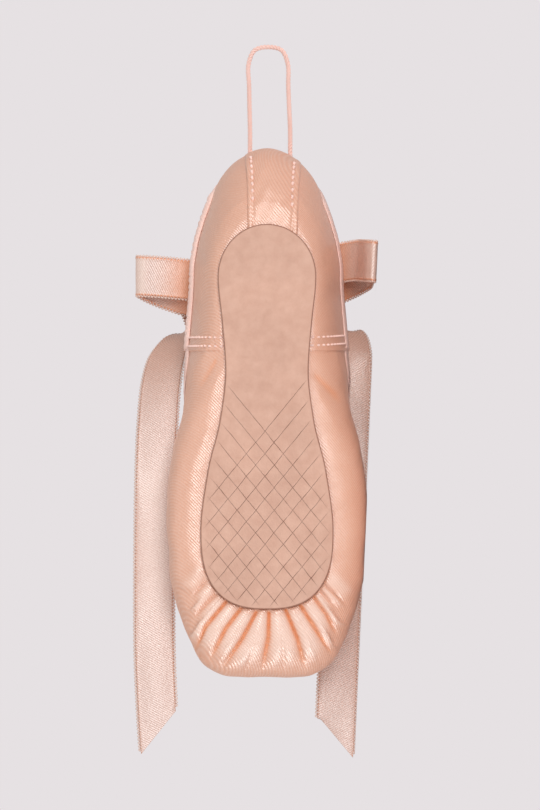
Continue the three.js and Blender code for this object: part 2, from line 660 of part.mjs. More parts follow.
// The knot: a block of wrapped ribbon with soft edges
function knotGeometry() {
  const { long, wide, deep, bevel, corner } = KNOT;
  const x = long / 2 - bevel;
  const y = wide / 2 - bevel;
  const shape = new THREE.Shape();
  shape.moveTo(-x + corner, -y);
  shape.lineTo(x - corner, -y);
  shape.quadraticCurveTo(x, -y, x, -y + corner);
  shape.lineTo(x, y - corner);
  shape.quadraticCurveTo(x, y, x - corner, y);
  shape.lineTo(-x + corner, y);
  shape.quadraticCurveTo(-x, y, -x, y - corner);
  shape.lineTo(-x, -y + corner);
  shape.quadraticCurveTo(-x, -y, -x + corner, -y);
  const geometry = new THREE.ExtrudeGeometry(shape, {
    depth: deep - 2 * bevel,
    bevelThickness: bevel,
    bevelSize: bevel,
    bevelSegments: 2,
    curveSegments: 3,
    steps: 1,
  });
  geometry.translate(KNOT.at.u, 0, KNOT.at.w - deep / 2 + bevel);
  return geometry;
}

// The hanging loop's cord
function cordGeometry() {
  const section = new THREE.Shape();
  section.absarc(0, 0, CORD_ACROSS / 2, 0, 2 * Math.PI);
  return new THREE.ExtrudeGeometry(section, {
    steps: CORD_STEPS,
    curveSegments: 4,
    bevelEnabled: false,
    extrudePath: routeCurve(CORD_ROUTE, ["u", "v", "w"]),
  });
}

// Materials
const satin = { color: "#ebbea5", roughness: 0.35, metalness: 0 };
const ribbon = { color: "#e6c3aa", roughness: 0.3, metalness: 0 };
const suede = { color: "#ddb09a", roughness: 0.9, metalness: 0 };
const edging = { color: "#fbd6cd", roughness: 0.5, metalness: 0 };
const cord = { color: "#f5cdc3", roughness: 0.7, metalness: 0 };
const board = { color: "#d8c3ac", roughness: 0.85, metalness: 0 };

const shoe = new THREE.Group();
function add(name, geometry, finish) {
  const mesh = new THREE.Mesh(geometry, new THREE.MeshStandardMaterial(finish));
  mesh.name = name;
  shoe.add(mesh);
}

add("outsole", solePlate(0, SOLE_THICK, SOLE_BEVEL, 0), suede);
add("upper", upperGeometry(), satin);
const insoleBase = UNDER + lookUp(STATIONS, "wall", TOE_CENTRE) + SEAT_GAP;
add("insole", solePlate(INSOLE_INSET, INSOLE_THICK, 0, insoleBase), board);
add("heel_strip", heelStripGeometry(), satin);
add("collar_binding", bindingGeometry(), edging);
add("hanging_loop", cordGeometry(), cord);
add("ribbon_band_left", ribbonGeometry(BAND, BAND_STEPS), ribbon);
add("ribbon_band_right", ribbonGeometry(mirrored(BAND), BAND_STEPS), ribbon);
add("bow_knot", knotGeometry(), ribbon);
add("bow_loop_left", ribbonGeometry(LOOP_LEFT, LOOP_STEPS), ribbon);
add("bow_loop_right", ribbonGeometry(LOOP_RIGHT, LOOP_STEPS), ribbon);
add("ribbon_tail_left", ribbonGeometry(TAIL_LEFT, TAIL_STEPS, TAIL_CUT), ribbon);
add("ribbon_tail_right", ribbonGeometry(TAIL_RIGHT, TAIL_STEPS, TAIL_CUT), ribbon);

// From the shoe frame to the part's: u to -X, w to +Y, v to +Z, then the lean
const laid = new THREE.Matrix4().makeBasis(
  new THREE.Vector3(-1, 0, 0),
  new THREE.Vector3(0, 0, 1),
  new THREE.Vector3(0, 1, 0),
);
shoe.applyMatrix4(laid);
const leaning = new THREE.Group();
leaning.add(shoe);
leaning.rotation.y = -LEAN;
leaning.position.set(ORIGIN.x, -ORIGIN.y, ORIGIN.z);

const part = new THREE.Group();
part.add(leaning);

export default part;
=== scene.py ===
"""Looks of a miniature satin pointe shoe, laid out as an add-on and run as a script."""
import math

import bmesh
import bpy
import numpy as np
from mathutils import Matrix, Vector


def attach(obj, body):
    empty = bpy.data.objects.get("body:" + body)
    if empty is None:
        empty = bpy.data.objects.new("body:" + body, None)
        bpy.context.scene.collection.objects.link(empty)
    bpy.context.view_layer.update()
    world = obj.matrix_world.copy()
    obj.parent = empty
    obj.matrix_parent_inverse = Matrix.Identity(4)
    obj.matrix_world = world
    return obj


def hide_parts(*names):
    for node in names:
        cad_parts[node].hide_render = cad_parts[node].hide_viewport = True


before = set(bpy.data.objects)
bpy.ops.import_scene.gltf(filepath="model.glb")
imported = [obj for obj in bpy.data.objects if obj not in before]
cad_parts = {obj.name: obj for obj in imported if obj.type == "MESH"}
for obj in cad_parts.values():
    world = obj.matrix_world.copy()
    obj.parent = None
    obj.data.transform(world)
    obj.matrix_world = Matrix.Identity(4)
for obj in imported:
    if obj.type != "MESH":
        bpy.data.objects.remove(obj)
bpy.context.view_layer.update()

bl_info = {
    "name": "Miniature Pointe Shoe",
    "version": (1, 0, 0),
    "blender": (4, 5, 0),
    "location": "3D View > Sidebar > Pointe Shoe",
    "description": "Builds the satin, suede, ribbon and cord of a miniature pointe shoe",
    "category": "Add Mesh",
}

# Shoe frame in millimetres: u from heel to toe, v towards the upper side, w up from the outsole's face
LEAN = math.radians(2.57)
REST_AT = 79.4
REST_HALF = 20.7
ORIGIN = (54.54, 13.6, (REST_HALF + REST_AT * math.tan(LEAN)) * math.cos(LEAN))
HEEL_CENTRE = 26.0
TOE_CENTRE = 86.0
THROAT = 58.0
COLLAR_TURN = 33.0
COLLAR_ANGLE = 73.0
SOLE_THICK = 1.0
SEAT_GAP = 0.3
UNDER = SOLE_THICK + SEAT_GAP
SOLE_OVERLAP = 1.0
LASTING_MARGIN = 3.0
INSOLE_BASE = 3.4
INSOLE_THICK = 1.0
SEAM_AT = 41.8
SEAM_STEP = 0.35
STRIP_LEFT = 4.0
STRIP_RIGHT = -6.3
STRIP_FROM = 1.5
STRIP_TO = 64.0
BINDING_TALL = 2.6
TAIL_CUT = 8.6
HEEL_ROLL = 0.95
SOLE_FILL = 0.22
STRIP_TUCK = 0.85
STRIP_LIFT = 0.1
STRIP_STITCH_LIFT = 0.46
STITCH_RADIUS = 0.24
PICOT_REACH = 0.33
PICOT_OUT = 0.46
PICOT_SINK = 0.04
PICOT_RADIUS = 0.16
STRIP_STITCH_RADIUS = 0.32
STRIP_STITCH_STRETCH = 1.5
# Stations of the stitch rows beside each side seam, and side distances of the rows along the heel strip
SEAM_ROWS = {1: (39.0, 40.85), -1: (38.9, 40.6)}
STRIP_ROWS = (2.75, -4.85)
CASING_LAP = 0.06
# Degrees up the toe's section between which its lobes fade out, and how far a groove acts past its end
LOBE_FADE = (42, 88)
PLEAT_RUN = 1.6
FAR = 1e3
# Knot of the bow: its centre and its half sizes
KNOT = {"u": 30.0, "w": 28.2, "along": 4.2, "deep": 2.4, "half": 3.3, "cap": 3.2, "squareness": 0.55}
# The camera's view in millimetres: its height, the point of the shoe at its centre and the sensor
VIEW_TALL = 170.1
AIM = (53.13, -0.63, 10.0)
SENSOR = 36.0


def table(names, *rows):
    """Named columns from rows of numbers."""
    return {name: np.array([row[k] for row in rows], float) for k, name in enumerate(names.split())}


STATIONS = table(
    "at half full top low up wall",
    (26, 15.2, 27.0, 28.0, 2.0, 2.2, 1.1),
    (36, 15.9, 25.5, 27.5, 2.1, 2.2, 1.1),
    (46, 16.9, 17.5, 26.5, 2.4, 2.3, 1.2),
    (54, 17.6, 13.0, 25.8, 2.7, 2.4, 1.4),
    (62, 19.6, 11.0, 24.8, 2.9, 2.5, 1.6),
    (70, 20.8, 10.2, 23.5, 3.1, 2.6, 1.8),
    (78, 21.1, 9.8, 22.0, 3.1, 2.7, 1.8),
    (86, 20.5, 9.4, 20.2, 2.9, 2.8, 1.8),
)
TOE = table(
    "at half full low up",
    (0, 24.2, 8.6, 2.4, 4.6),
    (12, 24.8, 8.6, 2.4, 4.4),
    (22, 25.6, 8.7, 2.4, 4.1),
    (30, 25.4, 8.8, 2.5, 3.8),
    (44, 23.2, 9.0, 2.6, 3.3),
    (60, 21.3, 9.2, 2.8, 3.0),
    (75, 20.6, 9.3, 2.9, 2.9),
    (90, 20.5, 9.4, 2.9, 2.8),
)
HEEL = table(
    "at half full low",
    (0, 26.0, 31.0, 2.0),
    (13, 24.5, 30.8, 2.0),
    (21, 22.8, 30.2, 2.0),
    (32, 20.4, 29.2, 2.0),
    (44, 18.1, 28.2, 2.0),
    (57, 16.5, 27.5, 2.0),
    (75, 15.4, 27.1, 2.0),
    (90, 15.2, 27.0, 2.0),
)
SOLE_HEEL = {"at": 26.3, "back": 11.0, "half": 10.3, "square": 2.0}
SOLE_FORE = {"at": 79.6, "front": 16.2, "half": 13.9, "square": 2.6}
SOLE_WAIST = table("at half", (26.3, 10.3), (36, 9.4), (46, 8.7), (56, 9.8), (67, 12.4), (79.6, 13.9))

# Grooves between the toe's pleats, from the outsole's edge outwards: three points and a depth
PLEATS = table(
    "u1 v1 u2 v2 u3 v3 depth",
    (90.0, 12.9, 91.6, 14.2, 93.2, 15.6, 0.5),
    (92.6, 10.6, 94.9, 12.9, 97.6, 15.2, 0.6),
    (94.1, 8.4, 99.4, 12.8, 104.2, 14.8, 1.15),
    (95.6, 5.4, 99.8, 8.6, 105.6, 11.5, 1.2),
    (96.3, 2.2, 101.8, 5.1, 107.4, 8.8, 1.5),
    (96.4, -0.4, 101.6, -0.3, 108.2, 0.9, 1.5),
    (95.9, -3.9, 102.0, -6.4, 107.6, -7.8, 1.45),
    (94.7, -6.8, 100.0, -10.2, 104.8, -13.2, 1.15),
    (92.9, -9.5, 96.8, -12.4, 100.6, -14.2, 0.95),
    (91.6, -10.9, 93.4, -12.6, 95.4, -14.4, 0.45),
    (90.3, -11.7, 92.6, -14.2, 94.8, -16.4, 0.6),
)
# Creases of the quarters and the vamp's sides: three points, width and height, a groove below zero
CREASES = table(
    "u1 v1 u2 v2 u3 v3 width height",
    (43.6, 10.6, 47.0, 12.6, 53.6, 16.4, 1.1, -0.42),
    (41.0, 12.0, 45.0, 14.4, 50.0, 16.8, 1.2, 0.3),
    (47.6, 10.4, 52.0, 12.4, 58.0, 15.8, 1.3, 0.25),
    (47.0, -10.2, 50.4, -13.6, 55.2, -17.2, 1.2, -0.42),
    (42.4, -14.2, 45.6, -15.2, 49.4, -16.6, 1.0, 0.32),
    (51.0, -10.6, 55.6, -13.4, 61.0, -16.6, 1.4, 0.25),
    (58.0, 12.2, 66.0, 15.6, 76.0, 18.0, 1.8, 0.16),
    (60.0, -12.4, 68.0, -15.6, 77.0, -17.8, 1.8, 0.16),
    (10.4, 4.6, 13.6, 8.2, 18.6, 11.4, 1.1, 0.22),
    (11.0, -6.8, 14.0, -9.0, 19.0, -12.0, 1.1, 0.22),
)

LOOP_LEFT = table(
    "u v w au av aw",
    (27.8, 4.0, 27.3, 1, 0.05, 0),
    (27.2, 9.0, 26.0, 1, 0.05, 0),
    (26.6, 16.6, 24.9, 1, 0.06, 0),
    (26.0, 23.0, 24.7, 1, 0.04, 0),
    (25.8, 26.6, 25.3, 1, 0.03, 0),
    (25.8, 27.7, 27.0, 1, 0, 0),
    (26.0, 26.6, 28.7, 1, 0, 0),
    (27.6, 23.4, 29.6, 0.95, -0.25, 0),
    (30.0, 16.6, 29.2, 0.92, -0.3, 0),
    (31.4, 9.6, 29.0, 0.96, -0.2, 0),
    (31.6, 4.0, 28.4, 1, 0, 0),
)
LOOP_RIGHT = table(
    "u v w au av aw",
    (28.2, -4.2, 27.2, 1, 0.1, 0),
    (25.6, -9.4, 25.6, 0.95, 0.2, 0),
    (23.2, -15.2, 23.6, 0.97, 0.2, 0),
    (22.6, -18.6, 20.4, 0.99, 0.1, 0),
    (22.7, -20.2, 15.6, 1, 0.045, 0),
    (22.8, -21.3, 11.2, 1, 0.045, 0),
    (22.9, -22.3, 9.4, 1, 0.045, 0),
    (23.0, -22.9, 10.6, 1, 0.045, 0),
    (23.05, -22.89, 14.4, 1, 0.045, 0),
    (23.1, -22.71, 18.2, 1, 0.045, 0),
    (24.2, -21.6, 23.6, 0.99, 0, 0),
    (26.6, -16.6, 28.0, 0.97, -0.15, 0),
    (29.4, -9.6, 29.4, 0.97, -0.2, 0),
    (30.8, -4.5, 28.4, 1, 0, 0),
)
TAIL_LEFT = table(
    "u v w au av aw",
    (32.0, 3.7, 30.5, 1, 0.05, 0),
    (33.2, 9.0, 32.0, 1, 0.2, 0),
    (35.6, 15.0, 32.6, 0.9, 0.5, 0),
    (39.2, 19.2, 31.2, 0.45, 0.85, 0.3),
    (43.4, 21.3, 27.8, 0.2, 0.95, 0.2),
    (49.0, 22.5, 24.0, 0.1, 1, 0.1),
    (56.5, 23.1, 20.4, 0.05, 1, 0.03),
    (66.0, 23.5, 18.3, 0, 1, 0),
    (78.0, 23.7, 17.7, 0, 1, 0),
    (92.0, 23.8, 18.0, 0, 1, 0),
    (106.0, 23.7, 17.5, 0, 1, 0),
    (117.5, 23.2, 17.0, -0.04, 1, 0),
    (126.5, 22.6, 16.8, -0.08, 1, 0),
)
TAIL_RIGHT = table(
    "u v w au av aw",
    (32.0, -3.7, 30.0, 1, -0.05, 0),
    (32.8, -8.4, 31.2, 1, -0.15, 0),
    (34.8, -13.0, 32.2, 0.9, -0.45, 0),
    (38.0, -16.8, 29.8, 0.5, -0.85, 0),
    (43.6, -17.92, 26.9, 0.15, -1, 0),
    (51.0, -17.67, 25.3, 0.045, -1, 0),
    (61.0, -17.22, 24.8, 0.045, -1, 0),
    (73.0, -16.68, 24.0, 0.045, -1, 0),
    (86.0, -16.1, 23.4, 0.045, -1, 0),
    (99.0, -15.52, 23.8, 0.045, -1, 0),
    (112.0, -14.92, 23.2, 0.045, -1, 0),
    (121.0, -14.52, 22.2, 0.045, -1, 0),
    (127.5, -14.22, 21.6, 0.045, -1, 0),
)
BAND = table(
    "u v w au av aw",
    (38.0, 12.0, 10.5, 1, 0, 0),
    (37.4, 12.8, 14.0, 1, 0, 0),
    (36.4, 12.2, 18.9, 1, 0, 0.05),
    (35.0, 10.0, 22.2, 1, 0, 0.05),
    (33.0, 7.0, 24.6, 1, 0, 0),
    (31.4, 4.0, 26.2, 1, 0, 0),
)
CORD_ROUTE = table(
    "u v w",
    (7.1, 3.6, 13.0),
    (5.8, 3.6, 17.0),
    (5.3, 3.6, 20.5),
    (4.6, 3.6, 23.4),
    (1.8, 3.6, 25.0),
    (-1.0, 3.6, 25.4),
    (-5.0, 3.6, 25.1),
    (-9.5, 3.7, 24.6),
    (-14.5, 3.8, 24.0),
    (-19.0, 3.9, 23.6),
    (-21.9, 2.6, 23.4),
    (-22.6, -0.2, 23.4),
    (-21.9, -3.1, 23.4),
    (-19.0, -4.4, 23.6),
    (-14.5, -4.5, 24.0),
    (-9.5, -4.7, 24.6),
    (-5.0, -4.9, 25.1),
    (-1.0, -4.9, 25.4),
    (2.4, -4.9, 25.2),
    (5.4, -4.9, 23.5),
    (6.1, -4.9, 20.5),
    (6.5, -4.9, 17.0),
    (7.6, -4.9, 13.0),
)


# The last and its surface


def look_up(rows, column, x):
    """Value of one column at x, along a smooth curve through the rows that never overshoots them."""
    at, values = rows["at"], rows[column]
    slope = np.diff(values) / np.diff(at)
    tangent = np.zeros(len(at))
    same = slope[:-1] * slope[1:] > 0
    tangent[1:-1][same] = 2 * slope[:-1][same] * slope[1:][same] / (slope[:-1][same] + slope[1:][same])
    x = np.clip(np.asarray(x, float), at[0], at[-1])
    k = np.clip(np.searchsorted(at, x, side="right") - 1, 0, len(at) - 2)
    step = at[k + 1] - at[k]
    t = (x - at[k]) / step
    rise = t * t * (3 - 2 * t)
    bend = t * (1 - t) ** 2 * tangent[k] - t * t * (1 - t) * tangent[k + 1]
    return values[k] * (1 - rise) + values[k + 1] * rise + step * bend


def smooth(low, high, x):
    """Soft step from 0 to 1."""
    t = np.clip((x - low) / (high - low), 0, 1)
    return t * t * (3 - 2 * t)


def sole_half_width(u):
    """Half-width of the outsole at station u."""
    heel = np.clip((SOLE_HEEL["at"] - u) / SOLE_HEEL["back"], 0, 1)
    fore = np.clip((u - SOLE_FORE["at"]) / SOLE_FORE["front"], 0, 1)
    back = SOLE_HEEL["half"] * (1 - heel ** SOLE_HEEL["square"]) ** (1 / SOLE_HEEL["square"])
    front = SOLE_FORE["half"] * (1 - fore ** SOLE_FORE["square"]) ** (1 / SOLE_FORE["square"])
    return np.where(heel > 0, back, np.where(fore > 0, front, look_up(SOLE_WAIST, "half", u)))


def sole_reach(centre, along, across):
    """Distance from a round end's centre to the outsole's edge, in a direction across the plan."""
    near, far = np.zeros_like(along), np.full_like(along, 55.0)
    for _ in range(40):
        r = (near + far) / 2
        inside = np.abs(r * across) < sole_half_width(centre + r * along)
        near, far = np.where(inside, r, near), np.where(inside, far, r)
    return near


def collar_angle(u):
    """Degrees up the section at which the collar cuts it."""
    x = np.clip((u - COLLAR_TURN) / (THROAT - COLLAR_TURN), 0, 1)
    return COLLAR_ANGLE + (180 - COLLAR_ANGLE) * (1 - np.sqrt(1 - x * x))


def flank(u, side):
    """Half-sections along one side."""
    u = np.asarray(u, float)
    lines = {name: look_up(STATIONS, name, u) for name in ("half", "full", "top", "low", "up", "wall")}
    lines.update(centre=u, along=0 * u, across=0 * u + side, cut=collar_angle(u), sole=sole_half_width(u))
    lines["step"] = SEAM_STEP * (1 - smooth(SEAM_AT - 0.12, SEAM_AT + 0.12, u))
    return lines


def round_end(turn, centre, rows, turn_from):
    """Half-sections round the heel or the toe, at angles in the plan counted from straight ahead."""
    turn = np.asarray(turn, float)
    off = np.abs(np.abs(turn) - turn_from)
    along, across = np.cos(np.radians(turn)), np.sin(np.radians(turn))
    one = np.ones_like(turn)
    lines = {name: look_up(rows, name, off) for name in ("half", "full", "low")}
    lines["up"] = look_up(rows, "up", off) if "up" in rows else one * STATIONS["up"][0]
    lines["top"] = one * look_up(STATIONS, "top", centre)
    lines["wall"] = one * look_up(STATIONS, "wall", centre)
    lines["sole"] = sole_reach(centre, along, across)
    lines.update(centre=one * centre, along=along, across=across)
    lines["cut"] = one * (180.0 if rows is TOE else COLLAR_ANGLE)
    lines["step"] = one * (0.0 if rows is TOE else SEAM_STEP)
    return lines


def toe_end(turn):
    return round_end(turn, TOE_CENTRE, TOE, 0.0)


def heel_end(turn):
    return round_end(turn, HEEL_CENTRE, HEEL, 180.0)


def joined(parts):
    return {name: np.concatenate([part[name] for part in parts]) for name in parts[0]}


def round_the_shoe(heel_turns, stations, toe_turns, shift=0.0):
    """Half-sections once round the shoe from the back of the heel along the upper side."""
    return joined([
        heel_end(np.linspace(180, 90, heel_turns + 1)[:-1] - 3 * shift),
        flank(stations + shift, 1),
        toe_end(np.linspace(90, -90, toe_turns + 1)[1:-1] - 3 * shift),
        flank(stations[::-1] - shift, -1),
        heel_end(np.linspace(-90, -180, heel_turns + 1)[1:-1] - 3 * shift),
    ])


def section(lines, angle):
    """Reach and height of the last at angles up from under the sole to the top."""
    foot = (lines["sole"] - SOLE_OVERLAP)[:, None]
    low, up = lines["low"][:, None], lines["up"][:, None]
    full, top = lines["full"][:, None], lines["top"][:, None]
    cut = np.minimum(lines["cut"], 90)[:, None]
    half = foot + (lines["half"][:, None] - foot) / np.sin(np.radians(cut)) ** (2 / low)
    sin = np.abs(np.sin(np.radians(angle)))
    cos = np.abs(np.cos(np.radians(angle)))
    lower = angle <= 90
    reach = np.where(lower, foot + (half - foot) * sin ** (2 / low), half * sin ** (2 / up))
    height = np.where(lower, full - (full - UNDER) * cos ** (2 / low), full + (top - full) * cos ** (2 / up))
    return np.where(angle >= 180, 0, reach), height


def last(lines, angle):
    """Points of the last; below zero the angle counts millimetres of the flat edge under the sole."""
    reach, height = section(lines, np.maximum(angle, 0))
    r = reach + np.minimum(angle, 0)
    u = lines["centre"][:, None] + r * lines["along"][:, None]
    return np.stack([u, r * lines["across"][:, None], height], -1)


def unit(vectors):
    return vectors / np.maximum(np.linalg.norm(vectors, axis=-1, keepdims=True), 1e-12)


def last_normal(before, lines, after, angle):
    """Outward normals of the last on a set of half-sections."""
    around = last(after, angle) - last(before, angle)
    low, high = np.clip(angle - 1.2, 0, 178.2), np.clip(angle + 1.2, 0.6, 179.4)
    normal = unit(np.cross(last(lines, high) - last(lines, low), around))
    centre = lines["centre"][:, None]
    slope = look_up(STATIONS, "top", centre + 0.5) - look_up(STATIONS, "top", centre - 0.5)
    ridge = unit(np.stack([-slope, 0 * slope, 1 + 0 * slope], -1)) + 0 * normal
    normal = np.where((angle >= 179)[..., None], ridge, normal)
    return np.where((angle < 0)[..., None], [0.0, 0.0, -1.0], normal)


def line_through(points, shift=0.0):
    """Half-sections through points of the shoe, moved a little along the row of them."""
    u, v = points[:, 0], points[:, 1]
    side = np.where(v < 0, -1.0, 1.0)
    lines = flank(u + side * shift, side)
    ends = ((u < HEEL_CENTRE, HEEL_CENTRE, heel_end), (u > TOE_CENTRE, TOE_CENTRE, toe_end))
    for there, centre, end in ends:
        if there.any():
            turned = end(np.degrees(np.arctan2(v, u - centre)) - 3 * shift)
            lines = {name: np.where(there, turned[name], lines[name]) for name in lines}
    return lines


def on_last(points):
    """Nearest points of the last beside some points, with the outward normals there."""
    lines = line_through(points)
    best = np.full(len(points), 90.0)
    for span, count in ((90.0, 91), (2.0, 21), (0.2, 11)):
        angles = np.clip(best[:, None] + np.linspace(-span, span, count)[None, :], 0, 180)
        away = np.linalg.norm(last(lines, angles) - points[:, None, :], axis=-1)
        best = angles[np.arange(len(points)), away.argmin(1)]
    angle = best[:, None]
    normal = last_normal(line_through(points, -0.1), lines, line_through(points, 0.1), angle)
    return last(lines, angle)[:, 0], normal[:, 0], lines


def heel_line_at(v, angle):
    """Half-sections of the heel whose surface at an angle stands at side distance v."""
    turn = np.full(len(v), 180.0)
    for _ in range(30):
        reach, _height = section(heel_end(turn), angle[:, None])
        turn = 180 - np.degrees(np.arcsin(np.clip(v / reach[:, 0], -1, 1)))
    return heel_end(turn)


def along_fold(rows, k, u, v, run):
    """Distance of plan points from one fold of a table, and how far along it they are: 1 at its end."""
    corners = np.array([[rows[f"u{n}"][k], rows[f"v{n}"][k]] for n in (1, 2, 3)])
    near, place = np.full(u.shape, FAR), np.zeros(u.shape)
    for n, furthest in ((0, 1.0), (1, run)):
        a, d = corners[n], corners[n + 1] - corners[n]
        t = np.clip(((u - a[0]) * d[0] + (v - a[1]) * d[1]) / (d @ d), 0, furthest)
        away = np.hypot(u - a[0] - t * d[0], v - a[1] - t * d[1])
        place = np.where(away < near, (n + t) / 2, place)
        near = np.minimum(away, near)
    return near, place


def creased(points):
    """Height of the creases at points seen in the plan."""
    u, v = points[..., 0], points[..., 1]
    total = np.zeros(u.shape)
    for k, (width, height) in enumerate(zip(CREASES["width"], CREASES["height"])):
        near, place = along_fold(CREASES, k, u, v, 1.0)
        wide = width * (0.6 + 1.1 * place)
        fade = smooth(-0.15, 0.06, place) * (1 - 0.95 * smooth(0.5, 1.0, place))
        beyond = smooth(0.999, 1.0, place) * smooth(0.4, 1.6, near)
        total += height * fade * (1 - beyond) * np.exp(-np.sqrt((near / wide) ** 2 + 0.04) + 0.2)
    return total


def gathered(points):
    """Round lobes between the toe's grooves, and a mask of the grooves themselves for their painted shade.
    """
    u, v = points[..., 0], points[..., 1]
    first, second = np.full(u.shape, FAR), np.full(u.shape, FAR)
    place, deep = np.zeros(u.shape), np.zeros(u.shape)
    for k, depth in enumerate(PLEATS["depth"]):
        near, here = along_fold(PLEATS, k, u, v, PLEAT_RUN)
        closer = near < first
        second = np.where(closer, first, np.minimum(second, near))
        place = np.where(closer, here, place)
        deep = np.where(closer, depth, deep)
        first = np.where(closer, near, first)
    share = first / (first + second)
    dome = np.sqrt(np.clip(1 - (1 - 2 * share) ** 2, 0, 1))
    fade = (1 - smooth(0.62, 1.22, place)) * np.exp(-((np.maximum(0, first - 2.2) / 1.8) ** 2))
    lobes = (dome - 0.4) * fade * (0.35 + 0.65 * deep / PLEATS["depth"].max())
    grooves = np.exp(-((first / 0.3) ** 2)) * (1 - smooth(0.7, 1.15, place)) * smooth(0.4, 1.2, deep)
    return lobes, grooves


def run_along(points):
    """Distance gone at each point of a row of points."""
    return np.concatenate([[0], np.cumsum(np.linalg.norm(np.diff(points, axis=0), axis=1))])


def heel_patch(v, angle):
    """Points and outward normals of the heel at side distances v and angles up."""
    before, lines, after = [heel_line_at(v + move, angle) for move in (-0.3, 0.0, 0.3)]
    up = angle[:, None]
    return last(lines, up)[:, 0], last_normal(before, lines, after, up)[:, 0]


# Meshes


def to_world(points):
    """Shoe frame in millimetres to the part's frame in metres."""
    u, v, w = points[..., 0], points[..., 1], points[..., 2]
    x = ORIGIN[0] - u * math.cos(LEAN) - v * math.sin(LEAN)
    z = ORIGIN[2] - u * math.sin(LEAN) + v * math.cos(LEAN)
    return np.stack([x, w - ORIGIN[1], z], -1) / 1000


def grid_faces(rows, across, start=0, wrap=False):
    """Quads of a grid of points that is stored column by column."""
    faces = []
    for i in range(rows if wrap else rows - 1):
        n = (i + 1) % rows
        for j in range(across - 1):
            a, b = start + i * across + j, start + n * across + j
            faces.append((a, b, b + 1, a + 1))
    return faces


def new_piece(name, points, faces, replaces=(), weld=True, values=None, plan=None):
    """A mesh object from points in the shoe frame, riding on the shoe."""
    mesh = bpy.data.meshes.new(name)
    flat = np.asarray(points, float).reshape(-1, 3)
    mesh.from_pydata(to_world(flat).tolist(), [], faces)
    flat_plan = flat[:, :2] if plan is None else np.asarray(plan, float).reshape(-1, 2)
    corners = np.zeros(len(mesh.loops), np.int32)
    mesh.loops.foreach_get("vertex_index", corners)
    places = (flat_plan[corners] / 1000).astype(np.float32).ravel()
    mesh.uv_layers.new(name="plan").data.foreach_set("uv", places)
    for label, value in (values or {}).items():
        layer = mesh.attributes.new(label, "FLOAT", "POINT")
        layer.data.foreach_set("value", np.asarray(value, np.float32).ravel())
    work = bmesh.new()
    work.from_mesh(mesh)
    if weld:
        bmesh.ops.remove_doubles(work, verts=work.verts, dist=2e-6)
    bmesh.ops.recalc_face_normals(work, faces=work.faces)
    work.to_mesh(mesh)
    work.free()
    mesh.polygons.foreach_set("use_smooth", [True] * len(mesh.polygons))
    piece = bpy.data.objects.new(name, mesh)
    bpy.context.scene.collection.objects.link(piece)
    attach(piece, "root")
    if replaces:
        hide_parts(*replaces)
    return piece


def sheet_faces(columns, outer, inner, wrap):
    """Faces of a sheet with a thickness whose two sides are grids with the same columns."""
    start = columns * outer
    faces = grid_faces(columns, outer, 0, wrap) + grid_faces(columns, inner, start, wrap)
    for i in range(columns if wrap else columns - 1):
        n = (i + 1) % columns
        for a, b in ((0, 0), (outer - 1, inner - 1)):
            faces.append((i * outer + a, n * outer + a, start + n * inner + b, start + i * inner + b))
    if not wrap:
        for i in (0, columns - 1):
            for j in range(outer - 1):
                a, b = i * outer + j, start + i * inner + j
                faces.append((a, a + 1, b + 1, b))
    return faces


def tube_faces(rings, count, start=0, caps=True):
    """Faces of a tube whose points are stored ring by ring."""
    faces = []
    for i in range(rings - 1):
        for j in range(count):
            a, b = start + i * count + j, start + i * count + (j + 1) % count
            faces.append((a, b, b + count, a + count))
    if caps:
        faces.append(tuple(range(start, start + count))[::-1])
        faces.append(tuple(range(start + (rings - 1) * count, start + rings * count)))
    return faces


def three_route(rows, names):
    """Function from 0 to 1 along a centripetal curve through the rows."""
    p = np.stack([rows[name] for name in names.split()], -1)
    p = np.vstack([2 * p[0] - p[1], p, 2 * p[-1] - p[-2]])
    spans = len(p) - 3

    def at(t):
        x = np.clip(np.asarray(t, float), 0, 1) * spans
        k = np.minimum(x.astype(int), spans - 1)
        x = (x - k)[:, None]
        a, b, c, d = p[k], p[k + 1], p[k + 2], p[k + 3]
        gaps = [np.linalg.norm(s - r, axis=1, keepdims=True) ** 0.5 for r, s in ((a, b), (b, c), (c, d))]
        gaps[1] = np.where(gaps[1] < 1e-4, 1.0, gaps[1])
        gaps[0] = np.where(gaps[0] < 1e-4, gaps[1], gaps[0])
        gaps[2] = np.where(gaps[2] < 1e-4, gaps[1], gaps[2])
        first = ((b - a) / gaps[0] - (c - a) / (gaps[0] + gaps[1]) + (c - b) / gaps[1]) * gaps[1]
        second = ((c - b) / gaps[1] - (d - b) / (gaps[1] + gaps[2]) + (d - c) / gaps[2]) * gaps[1]
        squared = 3 * (c - b) - 2 * first - second
        cubed = 2 * (b - c) + first + second
        return b + first * x + squared * x**2 + cubed * x**3

    return at


def even_steps(curve, pitch):
    """Curve parameters whose points are evenly spaced, and the distance along at each."""
    t = np.linspace(0, 1, 1200)
    gone = run_along(curve(t))
    along = np.linspace(0, gone[-1], max(4, int(gone[-1] / pitch) + 1))
    return np.interp(along, gone, t), along


# Materials


def tint(code):
    """Linear colour of a screen colour."""
    parts = [int(code[k:k + 2], 16) / 255 for k in (1, 3, 5)]
    return [c / 12.92 if c <= 0.04045 else ((c + 0.055) / 1.055) ** 2.4 for c in parts] + [1.0]


def fill_sockets(tree, made, values):
    """Sets a node's inputs, or links them where the value is another node's output."""
    for name, value in values.items():
        if isinstance(value, bpy.types.NodeSocket):
            tree.links.new(value, made.inputs[name])
        else:
            made.inputs[name].default_value = value
    return made.outputs


def add_node(tree, kind, values=None, **settings):
    """A new node's outputs."""
    made = tree.nodes.new(kind)
    for name, value in settings.items():
        setattr(made, name, value)
    return fill_sockets(tree, made, values or {})


